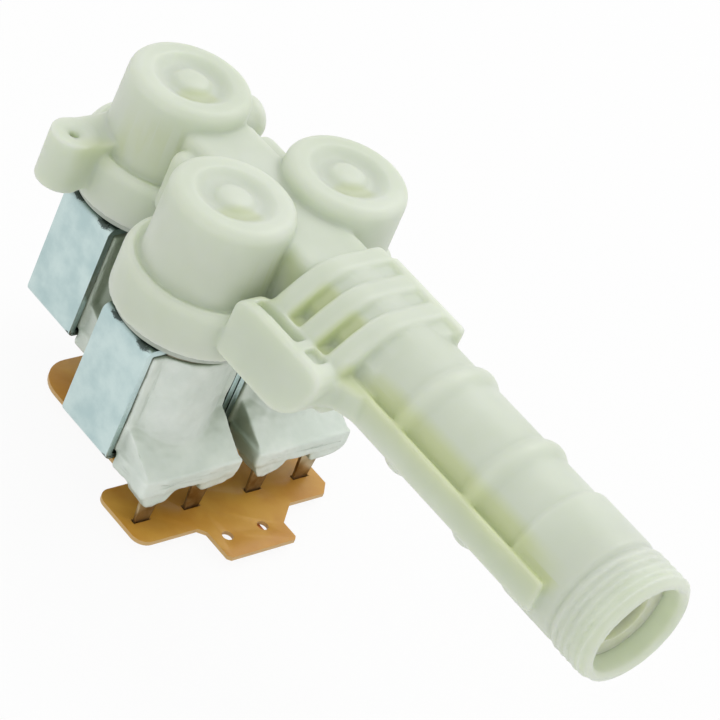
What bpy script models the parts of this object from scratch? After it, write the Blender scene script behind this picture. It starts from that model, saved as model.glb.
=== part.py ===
"""Three-coil washing machine inlet valve with a soldered circuit board.

One moulded manifold carries the threaded inlet, three outlet domes and the
three diaphragm cups. Each cup is closed from below by a guide tube, and a coil
in a steel yoke hangs round each guide tube. All coils share one circuit board.
Working frame: X across the pair of front valves, Y along the inlet tube with
the thread at -Y, Z up through the domes. Lengths are metres.
"""
import math

import bmesh
import bpy
from mathutils import Matrix, Vector

for old in list(bpy.data.objects):
    bpy.data.objects.remove(old, do_unlink=True)

mm = 0.001

# Clearances
seatGap = 0.3 * mm            # between pieces that touch
slideGap = 0.35 * mm          # plunger in its sleeve, on the radius
cutBeyond = 1.0 * mm          # cutters reach this far past a wall
edgeBreak = 0.4 * mm          # small chamfers on turned pieces

# Layout of the three valves
pairSpacing = 30.9 * mm       # between the two front valve axes
rowSpacing = 34.5 * mm        # from the front pair back to the rear valve

# Domes and cups
domeRadius = 13.4 * mm
domeTop = 14.5 * mm           # flat rim above the inlet axis
domeEdgeRound = 2.4 * mm
domeDraft = 0.25 * mm
domeWall = 3.0 * mm
bossRadius = 4.3 * mm
bossRise = 0.3 * mm           # boss above the rim
moatRadius = 5.9 * mm
moatDepth = 1.6 * mm
moatSlope = 2.9 * mm          # width of the slope from moat to rim
footZ = -4.4 * mm             # groove between dome and collar lip
footWidth = 0.7 * mm          # groove outside the dome
lipTop = -3.5 * mm
lipWidth = 1.7 * mm           # from the lip's crest out to the wall
lipRound = 1.9 * mm
collarRadius = 17.0 * mm
collarBottom = -14.8 * mm
cupRadius = 14.3 * mm
annulusRadius = 12.0 * mm
annulusTop = -7.5 * mm
seatZ = -11.4 * mm
seatRadius = 6.2 * mm
seatBore = 4.6 * mm
chamberFloor = -5.4 * mm

# Inlet tube
threadDiameter = 26.44 * mm   # 3/4 inch pipe thread over the crests
threadLength = 11.6 * mm
threadPitch = 1.814 * mm
threadDepth = 1.16 * mm
threadChamfer = 1.0 * mm
threadLead = 0.5 * mm         # plain end ahead of the first turn
threadRunout = 1.2 * mm
collarLength = 14.2 * mm
tubeRadius = 12.25 * mm
neckRadius = tubeRadius + 0.8 * mm
neckStep = 0.5 * mm           # half length of the step from neck to tube
tubeReach = 116.8 * mm        # inlet end ahead of the front valve axes
beadHeight = 1.25 * mm
beadLength = 6.6 * mm
beadPlaces = (56.7 * mm, 77.9 * mm)
boreWall = 5.45 * mm           # wall of the long bore
boreRadius = tubeRadius - boreWall
mouthRadius = 10.4 * mm
mouthDepth = 17.0 * mm
mouthFunnel = 0.5 * mm        # chamfer of the mouth
regulatorBore = boreRadius + 1.4 * mm
regulatorDepth = 8.0 * mm
boreRearWall = 12.0 * mm      # saddle start back to the end of the bore
ductRadius = 3.9 * mm
ductOverlap = 3.0 * mm        # duct into the bore
ductZ = -5.5 * mm
sidePortRadius = 2.0 * mm

# Keel along the tube: a thin wall that stands off it on a low foot
keelStand = 2.35 * mm         # wall's outer face beyond the tube
keelWall = 1.4 * mm
keelTop = 2.9 * mm
keelBottom = -4.6 * mm
keelFloor = 0.3 * mm          # floor of the gap beside the wall
keelRound = 0.5 * mm
keelStart = 30.0 * mm
keelEnd = 101.6 * mm

# Manifold block
blockWidth = 18.0 * mm
blockTop = 10.4 * mm
blockBottom = -12.6 * mm
blockBack = 24.0 * mm
blockRound = 2.2 * mm
blockOverlap = 6.0 * mm       # block under the saddle
saddleTop = tubeRadius - 0.45 * mm
saddleLeft = tubeRadius - 0.25 * mm
saddleInset = 2.85 * mm        # right wall inside the tube's side
saddleRight = tubeRadius - saddleInset
saddleOverlap = 3.0 * mm      # tube into the saddle's start
saddleRound = 0.9 * mm
saddleStart = 20.0 * mm
saddleLength = 25.8 * mm
ribCount = 3
ribFirst = 21.9 * mm          # middle of the rear rib ahead of the front axes
ribPitch = 8.6 * mm
ribWidth = 5.6 * mm
ribTop = saddleTop + 1.0 * mm
ribRound = 1.5 * mm
ribFlatEnd = 4.5 * mm         # the flat crest stops here left of the axis
ribInset = 0.2 * mm           # ribs inside the right wall
ribRoot = 6.0 * mm
ribShoulder = 3.6 * mm        # crest's end out to the shoulder
ribShoulderDrop = 1.1 * mm
ribHaunchDrop = 4.2 * mm
ribReach = 1.4 * mm           # ribs into the rail
ribEndDrop = 0.7 * mm
ribDepth = 7.0 * mm
pocketDepth = 10.0 * mm       # pocket floor is solid down to here
pocketInset = 1.0 * mm
edgeRoot = 3.0 * mm
edgeStart = 3.6 * mm
edgeOverrun = 0.4 * mm
edgeRound = 0.5 * mm
pocketFloor = 3.0 * mm
edgeWall = 1.7 * mm
edgeRise = 1.1 * mm

# Clip rail beside the tube
railStand = 10.35 * mm         # rail's face out from the tube
railSide = tubeRadius + railStand
railThickness = 6.4 * mm
railStart = 15.8 * mm
railLength = 27.0 * mm
railTop = 4.0 * mm
railBottom = -11.2 * mm
railWall = 3.0 * mm           # outer plate beside the groove
railGroove = 1.7 * mm
railGrooveDepth = 2.8 * mm
railGrooveStart = 2.7 * mm     # behind it the rail is solid
railGrooveLength = 13.0 * mm
railPocket = 2.6 * mm
railRound = 0.7 * mm
railPocketStart = 4.6 * mm
railPocketDepth = 1.5 * mm
railHeel = 1.6 * mm
railSlope = 6.0 * mm          # the top slopes down to the heel over this length
railNoseDrop = 1.2 * mm
railSweep = 9.8 * mm          # length of the rounded lower front corner
gussetReach = 5.2 * mm        # rail brace running out into the keel
gussetRoot = 8.0 * mm
gussetInset = 1.0 * mm

# Screw ear beside the rear valve
earX = -21.2 * mm
earY = 5.7 * mm               # behind the rear valve axis
earRadius = 5.1 * mm
earTop = -0.6 * mm
earBottom = -13.0 * mm
earHole = 1.1 * mm
earHoleDepth = 3.4 * mm
earSink = 0.6 * mm
earSinkRadius = 2.2 * mm
earWebInset = 0.5 * mm

# Outlets
outletRadius = 5.4 * mm
outletBore = 3.4 * mm
rearOutletZ = 1.9 * mm
rearOutletShift = 1.5 * mm    # ahead of the rear valve axis
rearOutletReach = 21.0 * mm
pairOutletY = 16.6 * mm
pairOutletZ = -3.0 * mm
pairOutletReach = 31.6 * mm
linkZ = 3.4 * mm
linkRadius = 3.0 * mm
linkTop = 8.2 * mm
linkDepth = 11.0 * mm
linkSide = 8.6 * mm           # link bores from the middle
linkInsetLeft = 2.4 * mm
linkInsetRight = 1.2 * mm
linkRound = 2.5 * mm
linkOverrun = 0.6 * mm
dropShift = 0.4 * mm
outletRoot = 2.0 * mm         # stub into the block
chamberRound = 2.0 * mm

# Guide tube, plunger and spring
guideFlangeRadius = 15.3 * mm
guideRim = 2.4 * mm
guideFloor = 1.4 * mm
sleeveRadius = 4.95 * mm
sleeveWall = 0.7 * mm
sleeveRoom = 4.5 * mm         # below the plunger when it is down
sleeveFloor = 1.2 * mm
plungerLength = 19.4 * mm
plungerTravel = 2.5 * mm
diaphragmTravel = 1.2 * mm
springBoreDepth = 8.0 * mm
springWire = 0.45 * mm
springInset = 1.3 * mm        # spring's middle line inside the plunger's skin
springTurns = 5
sealRadius = 1.9 * mm
sealLength = 3.6 * mm
sealStand = 1.3 * mm

# Diaphragm and its insert
membrane = 0.9 * mm
beadThickness = 1.2 * mm
foldDepth = 1.2 * mm
seatLand = 1.4 * mm           # flat of the membrane outside the seat
guideClear = 0.2 * mm
insertRadius = 6.0 * mm
insertThickness = 1.1 * mm
insertStem = 2.6 * mm
insertStemLength = 2.7 * mm
pilotHole = 0.8 * mm

# Yoke and coil
yokeWidth = 30.5 * mm
yokeDepth = 15.7 * mm
yokeHeight = 29.3 * mm
yokeSheet = 1.5 * mm
yokeHole = 5.4 * mm
bobbinWall = 1.2 * mm
windingThickness = 4.7 * mm
coverWall = 1.0 * mm
coverProud = 0.6 * mm         # wrap beyond the edges of the strap
wrapInset = 0.05 * mm
housingFront = 19.3 * mm      # ahead of the coil axis
housingTop = 2.4 * mm         # above the yoke's lower sheet
housingBottom = 1.6 * mm      # below the yoke
housingRound = 0.9 * mm
rampTop = -37.0 * mm          # where the wrap starts to run out into the housing
rampBack = 0.44               # share of the strap's depth that the ramp starts from
rampInset = 0.7 * mm
lobeDrop = 2.4 * mm
lobeSetback = 0.3 * mm
lobeDepth = 3.4 * mm          # behind the terminals
lobeRoot = 1.5 * mm
lobeRound = 1.4 * mm
lobeGap = 3.1 * mm            # half gap between the two lobes

# Terminals and board
terminalPitch = 13.62 * mm
terminalY = 16.1 * mm         # ahead of the coil axis
terminalWidth = 5.4 * mm
terminalSheet = 0.8 * mm
terminalLegWidth = 4.0 * mm
terminalInset = 3.6 * mm
terminalStand = 0.5 * mm      # end of the taper above the board
legLength = 3.0 * mm
boardDrop = 11.4 * mm         # board top below the yoke
boardThickness = 1.0 * mm
barHalf = 27.0 * mm
barFront = 22.4 * mm
barCorner = 3.2 * mm
barBack = 6.2 * mm
tailHalf = 17.0 * mm
tailBack = 30.7 * mm
tailCorner = 8.5 * mm
tabLeft = -10.0 * mm
tabRight = 9.1 * mm
tabFront = 31.9 * mm
tabFillet = 1.5 * mm
tabCorner = 0.8 * mm
tabShoulder = 4.5 * mm
tabShoulderReach = 5.4 * mm
barChamfer = 2.6 * mm
tabHole = 1.3 * mm
tabHoleX = -1.2 * mm          # middle of the two holes
tabHoleY = 26.1 * mm
tabHolePitch = 9.8 * mm
solderRadius = 2.9 * mm
solderHeight = 1.6 * mm

# Inlet strainer and flow regulator
strainerRim = 1.5 * mm
strainerDepth = 9.0 * mm
strainerWall = 0.9 * mm
strainerInset = 5.0 * mm
strainerSlot = 1.7 * mm
strainerPitch = 2.9 * mm
strainerTaper = 1.0 * mm
strainerLand = 2.6 * mm       # solid edge of the basket's floor
strainerCut = 3.0 * mm
regulatorThickness = 4.0 * mm
regulatorHole = 2.6 * mm
regulatorFlare = 0.8 * mm
regulatorThroat = 1.2 * mm

# Levels that follow from the sizes above
yokeTop = collarBottom - seatGap - guideFloor - 2.0 * seatGap
guideBottom = yokeTop + seatGap
yokeBottom = yokeTop - yokeHeight
boardTop = yokeBottom - boardDrop
boardBottom = boardTop - boardThickness
legTip = boardBottom - (legLength - boardThickness)
axisHeight = -legTip
halfPair = pairSpacing / 2.0
totalLength = tubeReach + rowSpacing + collarRadius
rowY = totalLength / 2.0 - collarRadius - rowSpacing

roundSteps = 24
fineSteps = 16
innerSteps = 14


def makeCollection(name):
    found = bpy.data.collections.new(name)
    bpy.context.scene.collection.children.link(found)
    return found


partsCollection = makeCollection("inlet_valve")
cutterCollection = makeCollection("cutters")
manifoldForms = bpy.data.collections.new("manifold_forms")
manifoldCuts = bpy.data.collections.new("manifold_cuts")
cutterCollection.children.link(manifoldForms)
cutterCollection.children.link(manifoldCuts)


def makeMaterial(name, colour, roughness, metallic=0.0):
    material = bpy.data.materials.new(name)
    material.use_nodes = True
    shader = material.node_tree.nodes["Principled BSDF"]
    shader.inputs["Base Color"].default_value = (*colour, 1.0)
    shader.inputs["Roughness"].default_value = roughness
    shader.inputs["Metallic"].default_value = metallic
    material.diffuse_color = (*colour, 1.0)
    return material


bodyMaterial = makeMaterial("body_plastic", (0.62, 0.67, 0.56), 0.42)
coverMaterial = makeMaterial("coil_plastic", (0.66, 0.70, 0.67), 0.48)
guideMaterial = makeMaterial("guide_plastic", (0.52, 0.57, 0.52), 0.45)
bobbinMaterial = makeMaterial("bobbin_plastic", (0.60, 0.58, 0.50), 0.50)
rubberMaterial = makeMaterial("rubber", (0.025, 0.025, 0.027), 0.70)
yokeMaterial = makeMaterial("yoke_steel", (0.52, 0.58, 0.60), 0.36, 1.0)
plungerMaterial = makeMaterial("plunger_steel", (0.55, 0.55, 0.56), 0.28, 1.0)
springMaterial = makeMaterial("spring_steel", (0.60, 0.60, 0.60), 0.25, 1.0)
copperMaterial = makeMaterial("copper", (0.72, 0.32, 0.12), 0.30, 1.0)
terminalMaterial = makeMaterial("terminal_tin", (0.62, 0.58, 0.52), 0.32, 1.0)
solderMaterial = makeMaterial("solder", (0.56, 0.56, 0.55), 0.30, 1.0)
boardMaterial = makeMaterial("board_laminate", (0.48, 0.20, 0.04), 0.50)
strainerMaterial = makeMaterial("strainer_plastic", (0.48, 0.46, 0.20), 0.50)


def makeEmpty(name, location, parent=None):
    empty = bpy.data.objects.new(name, None)
    empty.empty_display_size = 0.01
    empty.location = location
    empty.parent = parent
    partsCollection.objects.link(empty)
    return empty


manifoldFrame = makeEmpty("manifold_frame", (0.0, rowY, axisHeight))
valvePlaces = {
    "rear": (0.0, rowSpacing),
    "left": (-halfPair, 0.0),
    "right": (halfPair, 0.0),
}
valveFrames = {
    name: makeEmpty("valve_frame_" + name, (place[0], place[1], 0.0), manifoldFrame)
    for name, place in valvePlaces.items()
}


def addObject(name, mesh, material, parent=manifoldFrame, location=(0.0, 0.0, 0.0), cutter=None):
    piece = bpy.data.objects.new(name, mesh)
    piece.location = location
    piece.parent = parent
    if material is not None:
        mesh.materials.append(material)
    if cutter is not None:
        cutter.objects.link(piece)
        piece.hide_render = True
        piece.display_type = "WIRE"
    else:
        partsCollection.objects.link(piece)
    return piece


def smoothShade(piece, angle=35.0):
    piece.data.shade_smooth()
    piece.data.set_sharp_from_angle(angle=math.radians(angle))


def turned(name, profile, material, steps=roundSteps, closed=False, axis="Z", **placing):
    """A profile of (radius, height) pairs swept round an axis."""
    mesh = bpy.data.meshes.new(name)
    points = [(radius, 0.0, height) for radius, height in profile]
    edges = [(index, index + 1) for index in range(len(points) - 1)]
    if closed:
        edges.append((len(points) - 1, 0))
    mesh.from_pydata(points, edges, [])
    piece = addObject(name, mesh, material, **placing)
    if axis == "Y":
        piece.rotation_euler = (math.radians(90.0), 0.0, 0.0)
    if axis == "X":
        piece.rotation_euler = (0.0, math.radians(90.0), 0.0)
    screw = piece.modifiers.new("turn", "SCREW")
    screw.steps = steps
    screw.render_steps = steps
    screw.use_merge_vertices = True
    screw.merge_threshold = 0.00001
    screw.use_smooth_shade = True
    return piece


def box(name, low, high, material, bevel=0.0, segments=2, **placing):
    """A block between two corners, with its edges rounded on request."""
    mesh = bpy.data.meshes.new(name)
    shape = bmesh.new()
    bmesh.ops.create_cube(shape, size=1.0)
    size = [high[axis] - low[axis] for axis in range(3)]
    middle = [(high[axis] + low[axis]) / 2.0 for axis in range(3)]
    bmesh.ops.scale(shape, vec=size, verts=shape.verts)
    bmesh.ops.translate(shape, vec=middle, verts=shape.verts)
    shape.to_mesh(mesh)
    shape.free()
    piece = addObject(name, mesh, material, **placing)
    if bevel > 0.0:
        rounding = piece.modifiers.new("round", "BEVEL")
        rounding.width = bevel
        rounding.segments = segments
        rounding.limit_method = "ANGLE"
    return piece


def rod(name, radius, start, end, material, steps=fineSteps, **placing):
    """A straight cylinder between two points."""
    first = Vector(start)
    last = Vector(end)
    span = last - first
    mesh = bpy.data.meshes.new(name)
    shape = bmesh.new()
    bmesh.ops.create_cone(
        shape, cap_ends=True, segments=steps, radius1=radius, radius2=radius, depth=span.length
    )
    turn = Vector((0.0, 0.0, 1.0)).rotation_difference(span.normalized()).to_matrix().to_4x4()
    place = Matrix.Translation((first + last) / 2.0) @ turn
    bmesh.ops.transform(shape, matrix=place, verts=shape.verts)
    shape.to_mesh(mesh)
    shape.free()
    return addObject(name, mesh, material, **placing)


def combine(piece, other, operation):
    """A live Boolean that joins or cuts one object with another."""
    step = piece.modifiers.new(operation.lower() + "_" + other.name, "BOOLEAN")
    step.operation = operation
    step.solver = "EXACT"
    step.object = other
    return step


def combineAll(piece, others, operation):
    """A live Boolean that joins or cuts one object with a whole collection."""
    step = piece.modifiers.new(operation.lower() + "_" + others.name, "BOOLEAN")
    step.operation = operation
    step.solver = "EXACT"
    step.operand_type = "COLLECTION"
    step.collection = others
    return step


def arc(centreX, centreY, radius, startAngle, endAngle, count):
    """Points along an arc, both ends included, with angles in degrees."""
    points = []
    for index in range(count + 1):
        angle = math.radians(startAngle + (endAngle - startAngle) * index / count)
        points.append((centreX + radius * math.cos(angle), centreY + radius * math.sin(angle)))
    return points


# Manifold: outer forms

def domeProfile():
    """Outer skin of one dome and its cup, from the boss down to the cup rim."""
    moatZ = domeTop - moatDepth
    bossTop = domeTop + bossRise
    bossHeight = bossTop - moatZ
    footRadius = domeRadius + footWidth
    lipRadius = collarRadius - lipWidth
    profile = [(0.0, bossTop), (bossRadius * 0.42, bossTop - bossHeight * 0.07)]
    profile.append((bossRadius * 0.76, bossTop - bossHeight * 0.30))
    profile.append((bossRadius, moatZ + bossHeight * 0.16))
    profile.append((moatRadius, moatZ))
    profile.append((moatRadius + moatSlope * 0.46, moatZ + moatDepth * 0.36))
    profile.append((moatRadius + moatSlope, domeTop))
    profile.extend(arc(domeRadius - domeEdgeRound, domeTop - domeEdgeRound, domeEdgeRound, 90.0, 0.0, 3))
    profile.append((domeRadius + domeDraft, footZ + footWidth))
    profile.append((footRadius, footZ))
    profile.append((footRadius + (lipRadius - footRadius) * 0.5, footZ + (lipTop - footZ) * 0.45))
    profile.append((lipRadius, lipTop))
    profile.append((lipRadius + lipWidth * 0.62, lipTop - lipRound * 0.24))
    profile.append((collarRadius, lipTop - lipRound))
    profile.append((collarRadius, collarBottom))
    profile.append((0.0, collarBottom))
    return profile


body = box(
    "valve_body",
    (-blockWidth / 2.0, -saddleStart - blockOverlap, blockBottom),
    (blockWidth / 2.0, blockBack, blockTop),
    bodyMaterial,
    bevel=blockRound,
    segments=3,
)

for name in valvePlaces:
    turned("form_dome_" + name, domeProfile(), None, parent=valveFrames[name], cutter=manifoldForms)

inletEnd = tubeReach
threadStart = inletEnd - threadLength
neckStart = threadStart - collarLength
threadRoot = threadDiameter / 2.0 - threadDepth


def tubeProfile():
    """Outer skin of the inlet tube, as (radius, distance ahead of the valves)."""
    crest = threadDiameter / 2.0
    profile = [(0.0, inletEnd), (crest - threadChamfer, inletEnd)]
    turns = int((threadLength - threadRunout) / threadPitch)
    for index in range(turns):
        start = inletEnd - threadLead - index * threadPitch
        profile.append((crest, start - threadPitch * 0.30))
        profile.append((threadRoot, start - threadPitch * 0.80))
    profile.append((neckRadius, threadStart))
    profile.append((neckRadius, neckStart + neckStep))
    profile.append((tubeRadius, neckStart - neckStep))
    for middle in sorted(beadPlaces, reverse=True):
        profile.append((tubeRadius, middle + beadLength / 2.0))
        profile.append((tubeRadius + beadHeight * 0.82, middle + beadLength * 0.18))
        profile.append((tubeRadius + beadHeight, middle))
        profile.append((tubeRadius + beadHeight * 0.82, middle - beadLength * 0.18))
        profile.append((tubeRadius, middle - beadLength / 2.0))
    profile.append((tubeRadius, saddleStart + saddleOverlap))
    profile.append((0.0, saddleStart + saddleOverlap))
    return profile


turned("form_tube", tubeProfile(), None, axis="Y", cutter=manifoldForms)


def flatForm(name, outline, low, high, across, parent=manifoldFrame, cutter=manifoldForms):
    """A closed outline thickened between two planes across one axis."""
    curve = bpy.data.curves.new(name, "CURVE")
    curve.dimensions = "2D"
    curve.fill_mode = "BOTH"
    curve.extrude = (high - low) / 2.0
    spline = curve.splines.new("POLY")
    spline.points.add(len(outline) - 1)
    for point, (first, second) in zip(spline.points, outline):
        point.co = (first, second, 0.0, 1.0)
    spline.use_cyclic_u = True
    flat = bpy.data.objects.new(name, curve)
    bpy.context.scene.collection.objects.link(flat)
    middle = (low + high) / 2.0
    if across == "X":
        flat.rotation_euler = (math.radians(90.0), 0.0, math.radians(90.0))
        flat.location = (middle, 0.0, 0.0)
    elif across == "Y":
        flat.rotation_euler = (math.radians(90.0), 0.0, 0.0)
        flat.location = (0.0, middle, 0.0)
    else:
        flat.location = (0.0, 0.0, middle)
    bpy.context.view_layer.update()
    graph = bpy.context.evaluated_depsgraph_get()
    mesh = bpy.data.meshes.new_from_object(flat.evaluated_get(graph))
    mesh.transform(flat.matrix_world)
    bpy.data.objects.remove(flat, do_unlink=True)
    shape = bmesh.new()
    shape.from_mesh(mesh)
    bmesh.ops.remove_doubles(shape, verts=shape.verts, dist=0.000005)
    bmesh.ops.dissolve_limit(
        shape, angle_limit=math.radians(1.0), verts=shape.verts, edges=shape.edges
    )
    bmesh.ops.recalc_face_normals(shape, faces=shape.faces)
    shape.to_mesh(mesh)
    shape.free()
    mesh.materials.clear()
    return addObject(name, mesh, None, parent=parent, cutter=cutter)


def roundEdges(piece, width, segments=2, angle=40.0):
    rounding = piece.modifiers.new("round", "BEVEL")
    rounding.width = width
    rounding.segments = segments
    rounding.limit_method = "ANGLE"
    rounding.angle_limit = math.radians(angle)


# Saddle over the tube: a base that hugs it, ribs across, a wall on the right
saddleOutline = [
    (saddleRight, 0.0),
    (saddleRight, saddleTop),
    (-tubeRadius * 0.30, saddleTop),
    (-tubeRadius * 0.66, tubeRadius * 0.78),
    (-tubeRadius * 0.92, tubeRadius * 0.48),
    (-saddleLeft, 0.0),
]
saddle = flatForm("form_saddle", saddleOutline, -saddleStart - saddleLength, -saddleStart, "Y")
roundEdges(saddle, saddleRound)
railInner = railSide - railThickness
ribOutline = [
    (saddleRight - ribInset, saddleTop - ribRoot),
    (saddleRight - ribInset, ribTop),
    (-ribFlatEnd, ribTop),
    (-ribFlatEnd - ribShoulder, ribTop - ribShoulderDrop),
    (-tubeRadius, ribTop - ribHaunchDrop),
    (-railInner - ribReach, railTop - ribEndDrop),
    (-railInner - ribReach, railTop - ribDepth),
    (-tubeRadius * 0.5, railTop - ribDepth),
]
for index in range(ribCount):
    middle = -ribFirst - index * ribPitch
    rib = flatForm(
        "form_rib_%d" % index, ribOutline, middle - ribWidth / 2.0, middle + ribWidth / 2.0, "Y"
    )
    roundEdges(rib, ribRound, 3)
box(
    "form_edge",
    (saddleRight - edgeWall, -saddleStart - saddleLength - edgeOverrun, saddleTop - edgeRoot),
    (saddleRight + ribInset, -saddleStart - edgeStart, saddleTop + edgeRise),
    None,
    bevel=edgeRound,
    cutter=manifoldForms,
)

keelSide = tubeRadius + keelStand
box(
    "form_keel_wall",
    (-keelSide, -keelEnd, keelBottom),
    (-keelSide + keelWall, -keelStart, keelTop),
    None,
    bevel=keelRound,
    cutter=manifoldForms,
)
box(
    "form_keel_foot",
    (-keelSide + keelWall * 0.5, -keelEnd + keelWall * 0.3, keelBottom + keelWall * 0.3),
    (-tubeRadius * 0.5, -keelStart, keelFloor),
    None,
    cutter=manifoldForms,
)
box(
    "form_keel_end",
    (-keelSide + keelWall * 0.5, -keelEnd + keelWall * 0.2, keelFloor - keelWall),
    (-tubeRadius * 0.7, -keelEnd + keelWall, keelTop - keelWall * 0.3),
    None,
    cutter=manifoldForms,
)

# Clip rail: a wall with a rounded lower front corner, braced to tube and keel
railFront = -railStart - railLength
railDepth = railTop - railBottom
railOutline = [
    (-railStart, railBottom),
    (-railStart, railTop - railDepth * 0.17),
    (-railStart - railHeel, railTop - railDepth * 0.06),
    (-railStart - railSlope, railTop),
    (railFront + railSweep * 0.27, railTop),
    (railFront + railSweep * 0.04, railTop - railNoseDrop),
    (railFront, railTop - railDepth * 0.20),
    (railFront + railSweep * 0.14, railTop - railDepth * 0.52),
    (railFront + railSweep * 0.35, railTop - railDepth * 0.76),
    (railFront + railSweep * 0.65, railTop - railDepth * 0.93),
    (railFront + railSweep, railBottom),
]
rail = flatForm("form_rail", railOutline, -railSide, -railInner, "X")
roundEdges(rail, railRound, 2, 60.0)
box(
    "form_pocket_floor",
    (-railInner - pocketInset, railFront + pocketInset, pocketFloor - pocketDepth),
    (-tubeRadius * 0.5, -saddleStart + ribReach, pocketFloor),
    None,
    cutter=manifoldForms,
)
gussetOutline = [
    (-railSide + gussetInset, railFront + gussetRoot),
    (-railSide + gussetInset, railFront + gussetInset * 1.6),
    (-railInner - gussetInset * 0.6, railFront - gussetInset * 0.8),
    (-keelSide - keelWall * 0.3, railFront - gussetReach),
    (-tubeRadius * 0.7, railFront - gussetReach - gussetInset * 2.0),
    (-tubeRadius * 0.7, railFront + gussetRoot),
]
gusset = flatForm(
    "form_gusset", gussetOutline, keelBottom + keelWall * 0.2, keelTop - keelWall * 0.2, "Z"
)
roundEdges(gusset, saddleRound)

# Screw ear: a round boss on a web that grows from the rear cup
earPlaceY = rowSpacing + earY
rod(
    "form_ear",
    earRadius,
    (earX, earPlaceY, earBottom),
    (earX, earPlaceY, earTop),
    None,
    cutter=manifoldForms,
)
box(
    "form_ear_web",
    (earX, earPlaceY - earRadius * 0.97, earBottom + earWebInset),
    (-domeRadius * 0.5, earPlaceY + earRadius * 0.97, earTop - earWebInset),
    None,
    cutter=manifoldForms,
)

# Outlets: a stub from the rear dome, and one low behind the front pair
rearOutletY = rowSpacing - rearOutletShift
rod(
    "form_outlet_rear",
    outletRadius,
    (domeRadius * 0.4, rearOutletY, rearOutletZ),
    (rearOutletReach, rearOutletY, rearOutletZ),
    None,
    cutter=manifoldForms,
)
box(
    "form_link",
    (-halfPair + linkInsetLeft, pairOutletY - linkDepth / 2.0, pairOutletZ - outletRadius * 0.8),
    (halfPair - linkInsetRight, pairOutletY + linkDepth / 2.0, linkTop),
    None,
    bevel=linkRound,
    segments=3,
    cutter=manifoldForms,
)
rod(
    "form_outlet_pair",
    outletRadius,
    (linkSide - outletRoot, pairOutletY, pairOutletZ),
    (pairOutletReach, pairOutletY, pairOutletZ),
    None,
    cutter=manifoldForms,
)

# Manifold: water ways
chamberRadius = domeRadius - domeWall
chamberTop = domeTop - moatDepth - domeWall
wayProfile = [
    (0.0, chamberTop),
    (chamberRadius - chamberRound, chamberTop),
    (chamberRadius, chamberTop - chamberRound),
    (chamberRadius, chamberFloor),
    (seatBore, chamberFloor),
    (seatBore, seatZ),
    (seatRadius, seatZ),
    (seatRadius, annulusTop),
    (annulusRadius, annulusTop),
    (annulusRadius, seatZ),
    (cupRadius, seatZ),
    (cupRadius, collarBottom - cutBeyond),
    (0.0, collarBottom - cutBeyond),
]
for name in valvePlaces:
    frame = valveFrames[name]
    turned("cut_way_" + name, wayProfile, None, fineSteps, parent=frame, cutter=manifoldCuts)

mouthEnd = inletEnd - mouthDepth
regulatorEnd = mouthEnd - regulatorDepth
boreEnd = saddleStart + boreRearWall
boreProfile = [
    (0.0, inletEnd + mouthFunnel),
    (mouthRadius + mouthFunnel * 2.0, inletEnd + mouthFunnel),
    (mouthRadius, inletEnd - mouthFunnel),
    (mouthRadius, mouthEnd),
    (regulatorBore, mouthEnd),
    (regulatorBore, regulatorEnd),
    (boreRadius, regulatorEnd),
    (boreRadius, boreEnd),
    (0.0, boreEnd),
]
turned("cut_bore", boreProfile, None, steps=20, axis="Y", cutter=manifoldCuts)
rod(
    "cut_duct",
    ductRadius,
    (0.0, -boreEnd - ductOverlap, ductZ),
    (0.0, rowSpacing - (annulusRadius + seatRadius) / 2.0, ductZ),
    None,
    cutter=manifoldCuts,
)
sidePortZ = (annulusTop + seatZ) / 2.0
sidePortReach = halfPair - (annulusRadius + seatRadius) / 2.0
rod(
    "cut_side_port",
    sidePortRadius,
    (-sidePortReach, 0.0, sidePortZ),
    (sidePortReach, 0.0, sidePortZ),
    None,
    steps=16,
    cutter=manifoldCuts,
)
rod(
    "cut_rear_outlet",
    outletBore,
    (chamberRadius * 0.5, rearOutletY, rearOutletZ),
    (rearOutletReach + cutBeyond, rearOutletY, rearOutletZ),
    None,
    cutter=manifoldCuts,
)
rod(
    "cut_pair_outlet",
    outletBore,
    (linkSide - outletRoot * 0.5, pairOutletY, pairOutletZ),
    (pairOutletReach + cutBeyond, pairOutletY, pairOutletZ),
    None,
    cutter=manifoldCuts,
)
rod(
    "cut_cross_link",
    linkRadius,
    (-linkSide - linkOverrun, pairOutletY, linkZ),
    (linkSide + linkRadius * 0.9, pairOutletY, linkZ),
    None,
    cutter=manifoldCuts,
)
rod(
    "cut_drop_link",
    linkRadius * 0.94,
    (linkSide + dropShift, pairOutletY, pairOutletZ),
    (linkSide + dropShift, pairOutletY, linkZ),
    None,
    cutter=manifoldCuts,
)
for name, side in (("left", -linkSide), ("right", linkSide)):
    rod(
        "cut_link_" + name,
        linkRadius * 0.97,
        (side, chamberRadius * 0.4, linkZ),
        (side, pairOutletY, linkZ),
        None,
        steps=14,
        cutter=manifoldCuts,
    )
turned(
    "cut_ear_hole",
    [
        (0.0, earTop + earSink),
        (earSinkRadius + earSink, earTop + earSink),
        (earSinkRadius, earTop - earSink * 0.6),
        (earHole, earTop - earSink),
        (earHole, earTop - earHoleDepth),
        (0.0, earTop - earHoleDepth),
    ],
    None,
    steps=16,
    location=(earX, earPlaceY, 0.0),
    cutter=manifoldCuts,
)
grooveX = -railSide + railWall
box(
    "cut_rail_groove",
    (grooveX, -railStart - railGrooveStart - railGrooveLength, railTop - railGrooveDepth),
    (grooveX + railGroove, -railStart - railGrooveStart, railTop + cutBeyond),
    None,
    cutter=manifoldCuts,
)
box(
    "cut_rail_pocket",
    (grooveX - railPocket * 0.2, railFront + railPocketStart, railTop - railPocketDepth),
    (grooveX + railPocket, railFront + railPocketStart + railPocket * 1.6, railTop + cutBeyond),
    None,
    cutter=manifoldCuts,
)
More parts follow.
